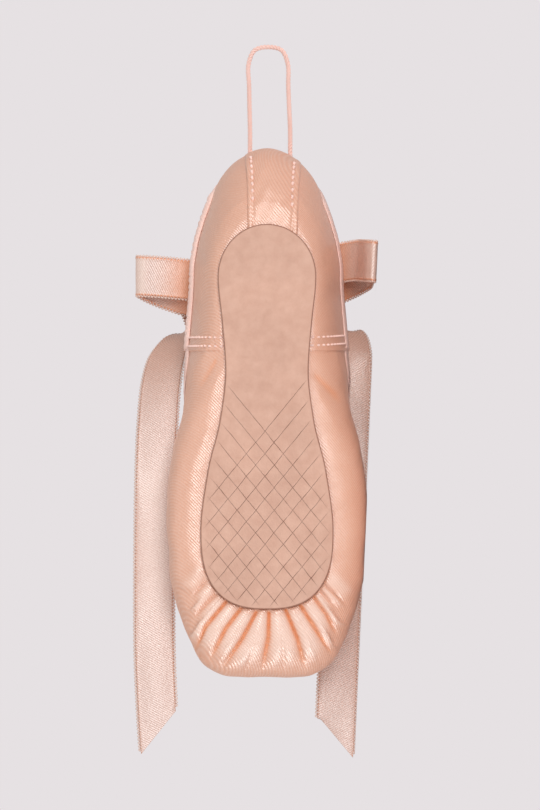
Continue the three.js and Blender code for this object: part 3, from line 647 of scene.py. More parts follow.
def number(tree, operation, first, second=0.0, third=0.0):
    """A math node's result."""
    return add_node(tree, "ShaderNodeMath", {0: first, 1: second, 2: third}, operation=operation)[0]


def clamped(tree, value):
    return add_node(tree, "ShaderNodeClamp", {0: value})[0]


def ranged(tree, value, low, high, at_low, at_high=1.0):
    """A value carried from one range to another and held at its ends."""
    values = {"Value": value, "From Min": low, "From Max": high, "To Min": at_low, "To Max": at_high}
    return add_node(tree, "ShaderNodeMapRange", values)[0]


def noise(tree, place, scale, detail, roughness=0.5):
    values = {"Vector": place, "Scale": scale, "Detail": detail, "Roughness": roughness}
    return add_node(tree, "ShaderNodeTexNoise", values)[0]


def split(tree, vector):
    return add_node(tree, "ShaderNodeSeparateXYZ", {0: vector})


def mask(tree, name):
    """A value that the mesh carries at its vertices."""
    return add_node(tree, "ShaderNodeAttribute", attribute_name=name)["Fac"]


def plan_place(tree):
    """Place in the plan of the sole, or along and across a ribbon."""
    return add_node(tree, "ShaderNodeUVMap", uv_map="plan")[0]


def blend_colour(tree, share, first, second, mode="MIX"):
    values = {0: share, 6: first, 7: second}
    return add_node(tree, "ShaderNodeMix", values, data_type="RGBA", blend_type=mode)[2]


def camera_sees(tree, seen, otherwise):
    """A shader that shows one thing to the camera and another to all other rays."""
    ray = tree.nodes.new("ShaderNodeLightPath").outputs["Is Camera Ray"]
    return add_node(tree, "ShaderNodeMixShader", {0: ray, 1: otherwise, 2: seen})[0]


def new_group(name, inputs, outputs):
    tree = bpy.data.node_groups.new(name, "ShaderNodeTree")
    for label, kind, value in inputs:
        socket = tree.interface.new_socket(name=label, in_out="INPUT", socket_type=kind)
        if value is not None:
            socket.default_value = value
    for label, kind in outputs:
        tree.interface.new_socket(name=label, in_out="OUTPUT", socket_type=kind)
    return tree, tree.nodes.new("NodeGroupInput").outputs, tree.nodes.new("NodeGroupOutput").inputs


def thread_group():
    """Fine slanted threads of satin: a height, and a mask of painted glints along the threads' ridges."""
    tree, given, out = new_group(
        "Satin Threads",
        [
            ("Place", "NodeSocketVector", None),
            ("Pitch", "NodeSocketFloat", 0.0004),
            ("Slant", "NodeSocketFloat", 0.7),
        ],
        [("Height", "NodeSocketFloat"), ("Bright", "NodeSocketFloat")],
    )
    place = split(tree, given["Place"])
    leaning = number(tree, "MULTIPLY_ADD", place[1], given["Slant"], place[0])
    leaning = number(tree, "SUBTRACT", leaning, place[2])
    turns = number(tree, "DIVIDE", leaning, given["Pitch"])
    wave = number(tree, "SINE", number(tree, "MULTIPLY", turns, 2 * math.pi))
    fuzz = noise(tree, given["Place"], 2600.0, 2.0)
    height = number(tree, "MULTIPLY_ADD", fuzz, 0.8, number(tree, "MULTIPLY", wave, 0.5))
    tree.links.new(height, out["Height"])
    # Painted glints: this mask lightens the colour along the ridges of the threads
    ridge = number(tree, "MULTIPLY_ADD", wave, 0.25, number(tree, "SUBTRACT", fuzz, 0.1))
    tree.links.new(clamped(tree, ridge), out["Bright"])
    return tree


def tone_group():
    """Colour of satin with painted light: painted glints along its threads, painted highlights on crests,
    and painted shade where it turns away from the view and where the mesh marks folds.
    """
    tones = ("Color", "Shade Color", "Glint Color", "Crest Color")
    amounts = ("Threads", "Glint Share", "Turned Shade", "Turned Share", "Crest Highlight", "Crest Share", "Painted Shade")
    tree, given, out = new_group(
        "Satin Tone",
        [(label, "NodeSocketColor", (1, 1, 1, 1)) for label in tones]
        + [(label, "NodeSocketFloat", 0.0) for label in amounts],
        [("Color", "NodeSocketColor")],
    )
    base = given["Color"]
    steps = (
        ("Threads", "Glint Share", "Glint Color"),
        ("Turned Shade", "Turned Share", "Shade Color"),
        ("Crest Highlight", "Crest Share", "Crest Color"),
    )
    for place, share, tone in steps:
        base = blend_colour(tree, number(tree, "MULTIPLY", given[place], given[share]), base, given[tone])
    tree.links.new(blend_colour(tree, given["Painted Shade"], base, given["Shade Color"]), out["Color"])
    return tree


def mottle_group():
    """Soft uneven colour, such as cloth and hide take with handling."""
    tree, given, out = new_group(
        "Soft Mottle",
        [
            ("Place", "NodeSocketVector", None),
            ("Size", "NodeSocketFloat", 0.01),
            ("Light", "NodeSocketColor", (1, 1, 1, 1)),
            ("Dark", "NodeSocketColor", (0, 0, 0, 1)),
            ("Contrast", "NodeSocketFloat", 1.0),
        ],
        [("Color", "NodeSocketColor"), ("Height", "NodeSocketFloat")],
    )
    cloud = noise(tree, given["Place"], number(tree, "DIVIDE", 1.0, given["Size"]), 5.0, 0.6)
    spread = number(tree, "MULTIPLY_ADD", number(tree, "SUBTRACT", cloud, 0.5), given["Contrast"], 0.5)
    tree.links.new(blend_colour(tree, clamped(tree, spread), given["Dark"], given["Light"]), out["Color"])
    tree.links.new(cloud, out["Height"])
    return tree


def weave_group():
    """Plain weave: over and under threads of a cotton or canvas."""
    tree, given, out = new_group(
        "Plain Weave",
        [("Place", "NodeSocketVector", None), ("Pitch", "NodeSocketFloat", 0.0005)],
        [("Height", "NodeSocketFloat")],
    )
    place = split(tree, given["Place"])
    waves = []
    for first, second in ((place[0], place[1]), (place[2], place[1])):
        run = number(tree, "DIVIDE", number(tree, "ADD", first, second), given["Pitch"])
        waves.append(number(tree, "SINE", number(tree, "MULTIPLY", run, math.pi)))
    crossed = number(tree, "MULTIPLY", waves[0], waves[1])
    tree.links.new(number(tree, "MULTIPLY_ADD", crossed, 0.5, 0.5), out["Height"])
    return tree


GROUP_MAKERS = {"threads": thread_group, "tone": tone_group, "mottle": mottle_group, "weave": weave_group}
GROUPS = {}


def place_group(tree, name, values):
    """Outputs of one of the shared groups, which is built at its first use."""
    if name not in GROUPS:
        GROUPS[name] = GROUP_MAKERS[name]()
    made = tree.nodes.new("ShaderNodeGroup")
    made.node_tree = GROUPS[name]
    return fill_sockets(tree, made, values)


def new_material(name, roughness, sheen=0.0, specular=0.5, anisotropic=0.0):
    """A material, its node tree, its shader's inputs and the object coordinates."""
    made = bpy.data.materials.new(name)
    made.use_nodes = True
    tree = made.node_tree
    shader = tree.nodes["Principled BSDF"].inputs
    values = {
        "Roughness": roughness,
        "Sheen Weight": sheen,
        "Sheen Roughness": 0.35,
        "Specular IOR Level": specular,
        "Anisotropic": anisotropic,
    }
    for label, value in values.items():
        shader[label].default_value = value
    return made, tree, shader, tree.nodes.new("ShaderNodeTexCoord").outputs["Object"]


def mottled(tree, place, size, light, dark, contrast):
    values = {"Place": place, "Size": size, "Light": light, "Dark": dark, "Contrast": contrast}
    return place_group(tree, "mottle", values)


def bumped(tree, height, depth, normal=None):
    """Normal of a bump of that depth in metres."""
    values = {"Strength": 1.0, "Distance": depth, "Height": height}
    if normal is not None:
        values["Normal"] = normal
    return add_node(tree, "ShaderNodeBump", values)[0]


# How the satin of the shoe and the satin of its ribbon, which runs its own way, take the light; threads and
# turned are the shares of painted glints along the threads and of painted shade where the satin turns away
# from the view
SHOE_SATIN = {"specular": 1.0, "threads": 0.28, "turned": 0.25, "bump": 0.00004, "gloss": 0.25}
RIBBON_SATIN = {"specular": 0.7, "threads": 0.75, "turned": 0.55, "bump": 0.00003, "gloss": 0.1}
# Colour of the painted glints along the satin's threads
GLINT_TONE = (1.0, 0.88, 0.84, 1.0)
# Colour of the painted highlights on crests
HIGHLIGHT_TONE = (1.0, 0.86, 0.78, 1.0)


def satin_material(name, tones, roughness, pitch, slant=0.7, kind=SHOE_SATIN):
    """Glossy satin with slanted threads and fine puckers, in a light and a dark tone, with a deep tone for
    its painted shade.
    """
    # deep is the colour of the painted shade
    light, dark, deep = tones
    made, tree, shader, place = new_material(name, roughness, 0.1, kind["specular"], 0.5)
    shader["IOR"].default_value = 1.5 + kind["gloss"]
    uneven = mottled(tree, place, 0.006, light, dark, 1.3)
    along = plan_place(tree) if kind is RIBBON_SATIN else place
    threads = place_group(tree, "threads", {"Place": along, "Pitch": pitch, "Slant": slant})
    toned = place_group(tree, "tone", {
        "Color": uneven["Color"],
        "Shade Color": deep,
        "Glint Color": GLINT_TONE,
        "Crest Color": HIGHLIGHT_TONE,
        "Threads": threads["Bright"],
        "Glint Share": kind["threads"],
        # Painted shade: the colour deepens where the satin turns away from the view
        "Turned Shade": add_node(tree, "ShaderNodeLayerWeight", {"Blend": 0.35})["Facing"],
        "Turned Share": kind["turned"],
        # Painted highlights where the mesh marks crests
        "Crest Highlight": mask(tree, "crest_highlight"),
        "Crest Share": 0.38,
        # The fold mask marks painted shade in grooves, creases and along the ribbon's edges
        "Painted Shade": mask(tree, "fold"),
    })
    tree.links.new(toned["Color"], shader["Base Color"])
    pucker = bumped(tree, uneven["Height"], 0.00022)
    tree.links.new(bumped(tree, threads["Height"], kind["bump"], pucker), shader["Normal"])
    varied = number(tree, "MULTIPLY_ADD", uneven["Height"], 0.16, roughness - 0.08)
    tree.links.new(varied, shader["Roughness"])
    return made


def shoe_satin(name, slant=0.7):
    tones = colours()
    shoe_tones = (tones.satin_light, tones.satin_dark, tones.satin_shade)
    return satin_material(name, shoe_tones, roughness=0.35, pitch=0.00066, slant=slant)


def ribbon_satin(name, warm=False):
    """Satin of the ribbon; a warm one takes the shoe's painted shade colour in its folds."""
    tones = colours()
    deep = tones.satin_shade if warm else tones.ribbon_shade
    ribbon_tones = (tones.ribbon_light, tones.ribbon_dark, deep)
    return satin_material(name, ribbon_tones, roughness=0.34, pitch=0.0005, slant=0.6, kind=RIBBON_SATIN)


def cloth_material(name, light, dark, pitch, depth, roughness=0.75):
    """Matt cotton or canvas."""
    made, tree, shader, place = new_material(name, roughness, sheen=0.08, specular=0.25)
    tree.links.new(mottled(tree, place, 0.004, light, dark, 1.2)["Color"], shader["Base Color"])
    weave = place_group(tree, "weave", {"Place": place, "Pitch": pitch})
    tree.links.new(bumped(tree, weave["Height"], depth), shader["Normal"])
    return made


def suede_material(name, light, dark, cut_and_rim_shade_colour, diamond_across, diamond_along):
    """Matt suede with the diamond pattern of cuts under the forefoot and painted shade along its rim."""
    made, tree, shader, place = new_material(name, 0.92, sheen=0.45, specular=0.18)
    nap = mottled(tree, place, 0.0022, light, dark, 1.5)
    wide = mottled(tree, place, 0.014, (1, 1, 1, 1), (0.72, 0.7, 0.7, 1), 1.3)
    base = blend_colour(tree, 0.75, nap["Color"], wide["Color"], "MULTIPLY")
    plan = plan_place(tree)
    uneven = noise(tree, plan, 260.0, 2.0)
    patchy = noise(tree, plan, 330.0, 1.0)
    uv = split(tree, plan)
    wobble = number(tree, "MULTIPLY", number(tree, "SUBTRACT", uneven, 0.5), 0.10)
    over = number(tree, "DIVIDE", uv[1], -diamond_across)
    down = number(tree, "DIVIDE", uv[0], diamond_along)
    edge = mask(tree, "rim")
    near_rim = clamped(tree, number(tree, "MULTIPLY", number(tree, "SUBTRACT", edge, 0.3), 0.7))
    lines = []
    # Each set of cuts: which way it leans, where it stands and the first line of it that is cut
    for lean, phase, first in ((1.0, 20.716, 32.8), (-1.0, 7.505, 4.8)):
        run = number(tree, "ADD", number(tree, "MULTIPLY_ADD", down, lean, over), phase)
        run = number(tree, "ADD", run, wobble)
        off = number(tree, "ABSOLUTE", number(tree, "SUBTRACT", number(tree, "FRACT", run), 0.5))
        width = number(tree, "MULTIPLY_ADD", patchy, 0.026, 0.008)
        gap = number(tree, "DIVIDE", number(tree, "SUBTRACT", 0.5, off), width)
        line = number(tree, "SUBTRACT", 1.0, gap)
        began = number(tree, "GREATER_THAN", number(tree, "MULTIPLY", run, lean), first)
        lines.append(number(tree, "MULTIPLY", clamped(tree, line), began))
    cuts = number(tree, "MULTIPLY", number(tree, "MAXIMUM", *lines), near_rim)
    strength = number(tree, "MULTIPLY", cuts, ranged(tree, patchy, 0.35, 0.68, 0.22))
    base = blend_colour(tree, strength, base, cut_and_rim_shade_colour)
    # Painted shade along the outsole's rim, in the colour of the cuts
    rim_shade = ranged(tree, edge, 0.1, 0.34, 0.75, 0.0)
    tree.links.new(blend_colour(tree, rim_shade, base, cut_and_rim_shade_colour), shader["Base Color"])
    fibre = bumped(tree, nap["Height"], 0.00016)
    tree.links.new(bumped(tree, number(tree, "SUBTRACT", 1.0, cuts), 0.00012, fibre), shader["Normal"])
    return made


# Sizes and colours that a user may change


def colour(name, description, code):
    return bpy.props.FloatVectorProperty(
        name=name, description=description, default=tint(code), size=4, min=0, max=1, subtype="COLOR"
    )


def millimetres(name, description, value):
    return bpy.props.FloatProperty(
        name=name, description=description, default=value / 1000, unit="LENGTH", precision=5
    )


def plain_number(name, description, value, unit="NONE"):
    return bpy.props.FloatProperty(name=name, description=description, default=value, unit=unit)


class ShoeSizes(bpy.types.PropertyGroup):
    pleat_depth: millimetres("Pleat depth", "Depth of the grooves between the toe's pleats", 1.5)
    crease_depth: millimetres("Crease depth", "Height of a full crease in the satin", 1.0)
    ribbon_width: millimetres("Ribbon width", "Width of the ribbon between its edges", 8.2)
    ribbon_thickness: millimetres("Ribbon thickness", "Thickness of the ribbon", 0.3)
    picot_pitch: millimetres("Picot pitch", "Distance between the tiny loops on the ribbon's edges", 0.72)
    cord_diameter: millimetres("Cord diameter", "Diameter of the hanging loop's cord", 1.05)
    cord_twist: millimetres("Cord twist", "Length of one turn of the cord's strands", 2.2)
    stitch_pitch: millimetres("Stitch pitch", "Distance from one stitch to the next", 1.4)
    stitch_length: millimetres("Stitch length", "Visible length of a stitch", 0.85)
    diamond_across: millimetres("Diamond width", "Width of a diamond in the outsole's cuts", 3.864)
    diamond_along: millimetres("Diamond length", "Length of a diamond in the outsole's cuts", 4.725)


class ShoeColours(bpy.types.PropertyGroup):
    satin_light: colour("Satin light", "Satin of the upper where it is lighter", "#e2a789")
    satin_dark: colour("Satin dark", "Satin of the upper where it is deeper", "#da9a79")
    # Colour of the painted shade in the satin's folds and where it turns away from the view
    satin_shade: colour("Satin deep", "Satin inside its folds and where it turns away", "#e68c50")
    ribbon_light: colour("Ribbon light", "Ribbon where it is lighter", "#c9a99c")
    ribbon_dark: colour("Ribbon dark", "Ribbon where it is deeper", "#b88f80")
    # Colour of the painted shade where the ribbon turns away from the view and in its folds
    ribbon_shade: colour("Ribbon deep", "Ribbon where it turns away", "#b97f60")
    suede_light: colour("Suede light", "Outsole where its nap is lighter", "#e2bba8")
    suede_dark: colour("Suede dark", "Outsole where its nap is deeper", "#d0a693")
    # The cuts' colour is also the painted shade along the outsole's rim
    cut: colour("Cuts", "Inside of the outsole's cuts", "#81503e")
    edging: colour("Edging", "Casing round the collar", "#fbdcd2")
    edging_dark: colour("Edging shade", "Casing in its gathers", "#f2c9bd")
    thread: colour("Thread", "Stitching thread", "#fde2da")
    cord: colour("Cord", "Hanging loop", "#f9d9d1")
    lining: colour("Lining", "Canvas inside the upper", "#e9dccb")
    board: colour("Board", "Cloth over the insole board", "#dccbb8")


class StudioLight(bpy.types.PropertyGroup):
    key: plain_number("Key", "Power of the key light", 3.2, "POWER")
    fill: plain_number("Fill", "Power of the fill light", 2.0, "POWER")
    around: plain_number("Around", "Strength of the light from all round", 0.57)
    backdrop: colour("Backdrop", "Colour behind the shoe", "#e6e1e3")
    distance: millimetres("Camera distance", "Distance from the camera to the shoe", 1800)


def sizes():
    return bpy.context.scene.pointe_sizes


def colours():
    return bpy.context.scene.pointe_colours


def give(piece, *materials):
    for material in materials:
        piece.data.materials.append(material)


# Pieces

SIDE_FINE = np.concatenate([
    np.arange(HEEL_CENTRE, COLLAR_TURN, 0.5),
    COLLAR_TURN + (THROAT - COLLAR_TURN) * np.sin(np.linspace(0, math.pi / 2, 64)),
    np.arange(THROAT + 0.4, TOE_CENTRE + 0.1, 0.4),
])
SIDE_FINE = np.sort(np.concatenate([SIDE_FINE, SEAM_AT + np.array([-0.14, -0.05, 0.05, 0.14])]))
HEEL_TURNS = 48
TOE_TURNS = 240


def lines_fine():
    """Close half-sections round the shoe, with their neighbours for the normals."""
    return [round_the_shoe(HEEL_TURNS, SIDE_FINE, TOE_TURNS, shift) for shift in (-0.05, 0.0, 0.05)]


def heel_roll(u, angle, cut=COLLAR_ANGLE):
    """How far the satin rolls outwards over the collar's edge round the back of the heel."""
    over = smooth(cut - 44, cut - 6, angle) * (1 - 0.35 * smooth(cut - 4, cut, angle))
    return HEEL_ROLL * (1 - smooth(4, 13, u)) * over


def outside_relief(points, angle, lines):
    """What stands out of the last: the seam's step, the toe's pleats and the satin's creases."""
    started = smooth(0, 9, angle)
    step = lines["step"][:, None] * smooth(0, 12, angle)
    lobes, _grooves = gathered(points)
    puffs = lobes * sizes().pleat_depth * 1000 * (1 - smooth(*LOBE_FADE, angle)) * smooth(0, 4, angle)
    folds = creased(points) * sizes().crease_depth * 1000 * (1 - smooth(95, 125, angle)) * started
    u, v, w = points[..., 0], points[..., 1], points[..., 2]
    ease = 0.07 * np.sin(u * 0.55 + 1.3 * np.sin(v * 0.31)) * np.sin(w * 0.42 + 0.16 * u)
    fine = 0.025 * np.sin(u * 1.7 + v * 0.8) * np.sin(w * 1.3 - v * 0.6)
    cut = lines["cut"][:, None]
    free = started * (1 - smooth(cut - 24, cut - 11, angle))
    return step + puffs + folds + heel_roll(u, angle, cut) + (ease + fine) * free


def floor_half(u):
    """Side distance of the floor from the shoe's centre line."""
    return REST_HALF + (REST_AT - u) * math.tan(LEAN)


class POINTE_OT_upper(bpy.types.Operator):
    """Satin upper: one hollow shell with its pleats, creases, seam step and canvas inside"""

    bl_idname = "pointe.upper"
    bl_label = "Upper"

    def execute(self, context):
        before, lines, after = lines_fine()
        margin = SOLE_OVERLAP - LASTING_MARGIN
        rise = np.concatenate([np.linspace(0, 0.12, 18)[:-1] ** 1.15 * 1.38, np.linspace(0.12, 1, 92)])
        rise = (rise - rise[0]) / (rise[-1] - rise[0])
        count = len(lines["cut"])
        outer_angle, inner_angle = [
            np.hstack([np.full((count, 1), margin), lines["cut"][:, None] * share[None, :]])
            for share in (np.sort(rise), np.linspace(0, 1, 34))
        ]
        outer = last(lines, outer_angle)
        normal = last_normal(before, lines, after, outer_angle)
        relief = outside_relief(outer, outer_angle, lines) * (outer_angle >= 0)
        outer = outer + normal * relief[..., None]
        outer[..., 1] = np.maximum(outer[..., 1], -floor_half(outer[..., 0]))
        inward = last_normal(before, lines, after, inner_angle) * lines["wall"][:, None, None]
        inner = last(lines, inner_angle) - inward
        points = np.vstack([outer.reshape(-1, 3), inner.reshape(-1, 3)])
        rows, inside = outer_angle.shape[1], inner_angle.shape[1]
        faces = sheet_faces(count, rows, inside, True)
        closed = lines["cut"] >= 180
        kept = []
        for face in faces:
            column = face[0] // rows if face[0] < count * rows else -1
            across = face[0] < count * rows <= face[2]
            if across and face[0] % rows == rows - 1 and closed[column] and closed[(column + 1) % count]:
                continue
            kept.append(face)
        lobes, grooves = gathered(outer)
        # Painted shade in the toe's grooves and in the hollows of the creases
        groove = grooves * (1 - smooth(60, 95, outer_angle))
        groove += 0.5 * smooth(0.15, 0.45, -creased(outer))
        # Painted highlight along the crests of the toe's lobes
        crest_highlight = smooth(0.1, 0.5, lobes) * (1 - smooth(*LOBE_FADE, outer_angle)) * smooth(2, 8, outer_angle)
        plain = np.zeros(inner_angle.size)
        values = {
            "fold": np.clip(np.concatenate([groove.ravel(), plain]), 0, 1),
            "crest_highlight": np.concatenate([crest_highlight.ravel(), plain]),
        }
        piece = new_piece("upper_satin", points, kept, ["upper"], values=values)
        tones = colours()
        lining = cloth_material("lining", tones.lining, tones.board, pitch=0.0006, depth=0.00008)
        give(piece, shoe_satin("satin"), lining)

        def spots(places):
            return [tuple(p) for p in np.round(places * 1e6).astype(np.int64).tolist()]

        # A face is canvas when all its vertices stand on the inner grid
        canvas = set(spots(to_world(inner.reshape(-1, 3))))
        at = np.zeros(len(piece.data.vertices) * 3)
        piece.data.vertices.foreach_get("co", at)
        inside_vertex = [spot in canvas for spot in spots(at.reshape(-1, 3))]
        lined = [int(all(inside_vertex[v] for v in polygon.vertices)) for polygon in piece.data.polygons]
        piece.data.polygons.foreach_set("material_index", lined)
        return {"FINISHED"}


def plate(name, node, inset, base, thick, edge, crown):
    """A flat piece with the outsole's outline and soft edges."""
    lines = round_the_shoe(HEEL_TURNS * 2, np.arange(HEEL_CENTRE, TOE_CENTRE + 0.1, 0.5), TOE_TURNS, 0.0)
    round_in = edge * (1 - np.cos(np.linspace(0, math.pi / 2, 7)))
    reach = lines["sole"][:, None] - inset
    rings, heights, rims = [], [], []
    for depth in round_in:
        rings.append(reach - depth)
        heights.append(edge - math.sqrt(max(0.0, edge**2 - (edge - depth) ** 2)))
        rims.append(depth)
    for share in np.linspace(0, 1, 26)[1:]:
        rings.append((reach - edge) * (1 - share))
        heights.append(0.0)
        rims.append(edge + share * 8)
    face_reach = np.hstack(rings)
    low = np.array(heights)[None, :] + 0 * face_reach
    u = lines["centre"][:, None] + face_reach * lines["along"][:, None]
    v = face_reach * lines["across"][:, None]
    waves = np.sin(u * 0.21 + 0.8) * np.cos(v * 0.27) + 0.5 * np.sin(u * 0.47 + v * 0.39)
    swell = crown * waves * smooth(0.3, 3, np.array(rims))
    under = np.stack([u, v, base + low + swell], -1)
    over = np.stack([u, v, base + thick - low + swell * 0.5], -1)
    columns, rows = under.shape[:2]
    points = np.vstack([under.reshape(-1, 3), over.reshape(-1, 3)])
    faces = grid_faces(columns, rows, 0, True) + grid_faces(columns, rows, columns * rows, True)
    for i in range(columns):
        n = (i + 1) % columns
        faces.append((i * rows, n * rows, columns * rows + n * rows, columns * rows + i * rows))
    rim = np.tile(np.array(rims), columns * 2)
    return new_piece(name, points, faces, [node], values={"rim": rim})


class POINTE_OT_outsole(bpy.types.Operator):
    """Suede outsole with the diamond pattern of cuts"""

    bl_idname = "pointe.outsole"
    bl_label = "Outsole"

    def execute(self, context):
        tones, size = colours(), sizes()
        piece = plate(
            "outsole_suede", "outsole",
            inset=0.0, base=0.0, thick=SOLE_THICK + SOLE_FILL, edge=0.32, crown=0.05,
        )
        give(piece, suede_material(
            "suede", tones.suede_light, tones.suede_dark, tones.cut, size.diamond_across, size.diamond_along
        ))
        return {"FINISHED"}


class POINTE_OT_insole(bpy.types.Operator):
    """Cloth-covered board inside"""

    bl_idname = "pointe.insole"
    bl_label = "Insole"

    def execute(self, context):
        tones = colours()
        piece = plate(
            "insole_board", "insole",
            inset=0.4, base=INSOLE_BASE, thick=INSOLE_THICK, edge=0.3, crown=0.04,
        )
        give(piece, cloth_material("board", tones.board, tones.lining, pitch=0.0007, depth=0.00006))
        return {"FINISHED"}


class POINTE_OT_heel_strip(bpy.types.Operator):
    """Satin strip up the back of the heel, with turned edges"""

    bl_idname = "pointe.heel_strip"
    bl_label = "Heel strip"

    def execute(self, context):
        across = np.linspace(0, 1, 61)
        up = np.linspace(STRIP_FROM, COLLAR_ANGLE - 0.5, 78)
        grid_v, grid_a = np.meshgrid(STRIP_LEFT + (STRIP_RIGHT - STRIP_LEFT) * across, up, indexing="ij")
        flat_v, flat_a = grid_v.ravel(), grid_a.ravel()
        point, normal = heel_patch(flat_v, flat_a)
        edge = np.minimum(across, 1 - across) * (STRIP_LEFT - STRIP_RIGHT)
        lip = 0.5 * smooth(0.0, 0.35, edge)
        hem = 0.16 * np.exp(-(((edge - 0.55) / 0.4) ** 2)) - 0.14 * np.exp(-(((edge - 1.25) / 0.25) ** 2))
        profile = (lip + hem)[:, None] + 0 * grid_a
        ripple = 0.06 * np.sin(grid_v * 1.9 + 0.3 * grid_a) + 0.14 * np.exp(-(((grid_a - 17) / 3.0) ** 2))
        tucked = 1 - STRIP_TUCK * smooth(COLLAR_ANGLE - 22, COLLAR_ANGLE - 2, grid_a)
        thick = ((profile + ripple * smooth(0.2, 1.4, edge)[:, None]) * tucked).ravel()
        lift = SEAM_STEP + STRIP_LIFT + heel_roll(point[:, 0], flat_a)
        outer = point + normal * (lift + thick)[:, None]
        inner = point + normal * lift[:, None]
        faces = sheet_faces(len(across), len(up), len(up), False)
        piece = new_piece("heel_strip_satin", np.vstack([outer, inner]), faces, ["heel_strip"])
        give(piece, shoe_satin("strip_satin", slant=-0.4))
        return {"FINISHED"}


def rim_rings():
    """The collar's edge all round: point, outward normal and the direction away from the opening."""
    before, lines, after = lines_fine()
    keep = (lines["cut"] < 180) | ((np.abs(lines["centre"] - THROAT) < 1e-6) & (lines["across"] > 0))
    chosen = [{name: value[keep] for name, value in part.items()} for part in (before, lines, after)]
    angle = chosen[1]["cut"][:, None]
    edge = last(chosen[1], angle)[:, 0]
    normal = last_normal(*chosen, angle)[:, 0]
    ahead = np.roll(edge, -1, 0) - np.roll(edge, 1, 0)
    down = unit(np.cross(normal, ahead))
    return chosen[1], edge, normal, down, run_along(edge)


class POINTE_OT_binding(bpy.types.Operator):
    """Gathered casing folded over the collar's edge"""

    bl_idname = "pointe.binding"
    bl_label = "Collar binding"

    def execute(self, context):
        lines, edge, normal, down, gone = rim_rings()
        tall = BINDING_TALL * (0.25 + 0.75 * smooth(2, 12, edge[:, :1]))
        legs = [on_last(edge + down * tall * share) for share in (1.0, 0.75, 0.5, 0.25)]
        seen = smooth(3, 9, edge[:, 0])
        outside = lines["step"] + CASING_LAP - 0.5 * (1 - seen)
        inside = -lines["wall"] - CASING_LAP
        gather = 0.5 + 0.5 * np.sin(gone * 5.1 + 1.5 * np.sin(gone * 0.83))
        side = np.where(edge[:, 1] > 0, 0.75, 0.3)
        fullness = side * smooth(3, 10, edge[:, 0]) * (1 - 0.6 * smooth(38, 48, edge[:, 0]))
        puff = (0.06 + fullness) * (1 + 0.3 * gather)
        ring = []

        def put(row, out, lift=0.0):
            ring.append(row[0] + row[1] * np.asarray(out)[:, None] - down * np.reshape(lift, (-1, 1)))

        top = (edge, normal)
        for row in legs:
            put(row, outside)
        put(top, outside, 0.1)
        put(top, inside, 0.1)
        for row in legs[::-1]:
            put(row, inside)
        for row, share in zip(legs, (0.3, 0.75, 0.95, 1.0)):
            put(row, inside - (0.1 + 0.4 * seen) * share)
        middle = (outside + inside) / 2
        reach = (outside - inside) / 2 + 0.5 * seen
        for turn in np.radians(np.arange(-80, 100, 20)):
            bulge = 1 + 0.12 * puff * (np.sin(turn) > 0)
            put(top, middle + reach * np.sin(turn) * bulge, 0.1 + 0.85 * np.cos(turn) * puff)
        for row, share in zip(legs[::-1], (1.0, 0.95, 0.8, 0.35)):
            put(row, outside + puff * share - 0.02)
        points = np.stack(ring, 1)
        columns, rows = points.shape[:2]
        faces = grid_faces(columns, rows, 0, True)
        for i in range(columns):
            a, b = i * rows, (i + 1) % columns * rows
            faces.append((a + rows - 1, b + rows - 1, b, a))
        piece = new_piece("collar_binding_casing", points, faces, ["collar_binding"])
        tones = colours()
        give(piece, cloth_material(
            "edging", tones.edging, tones.edging_dark, pitch=0.00045, depth=0.00006, roughness=0.55
        ))
        return {"FINISHED"}


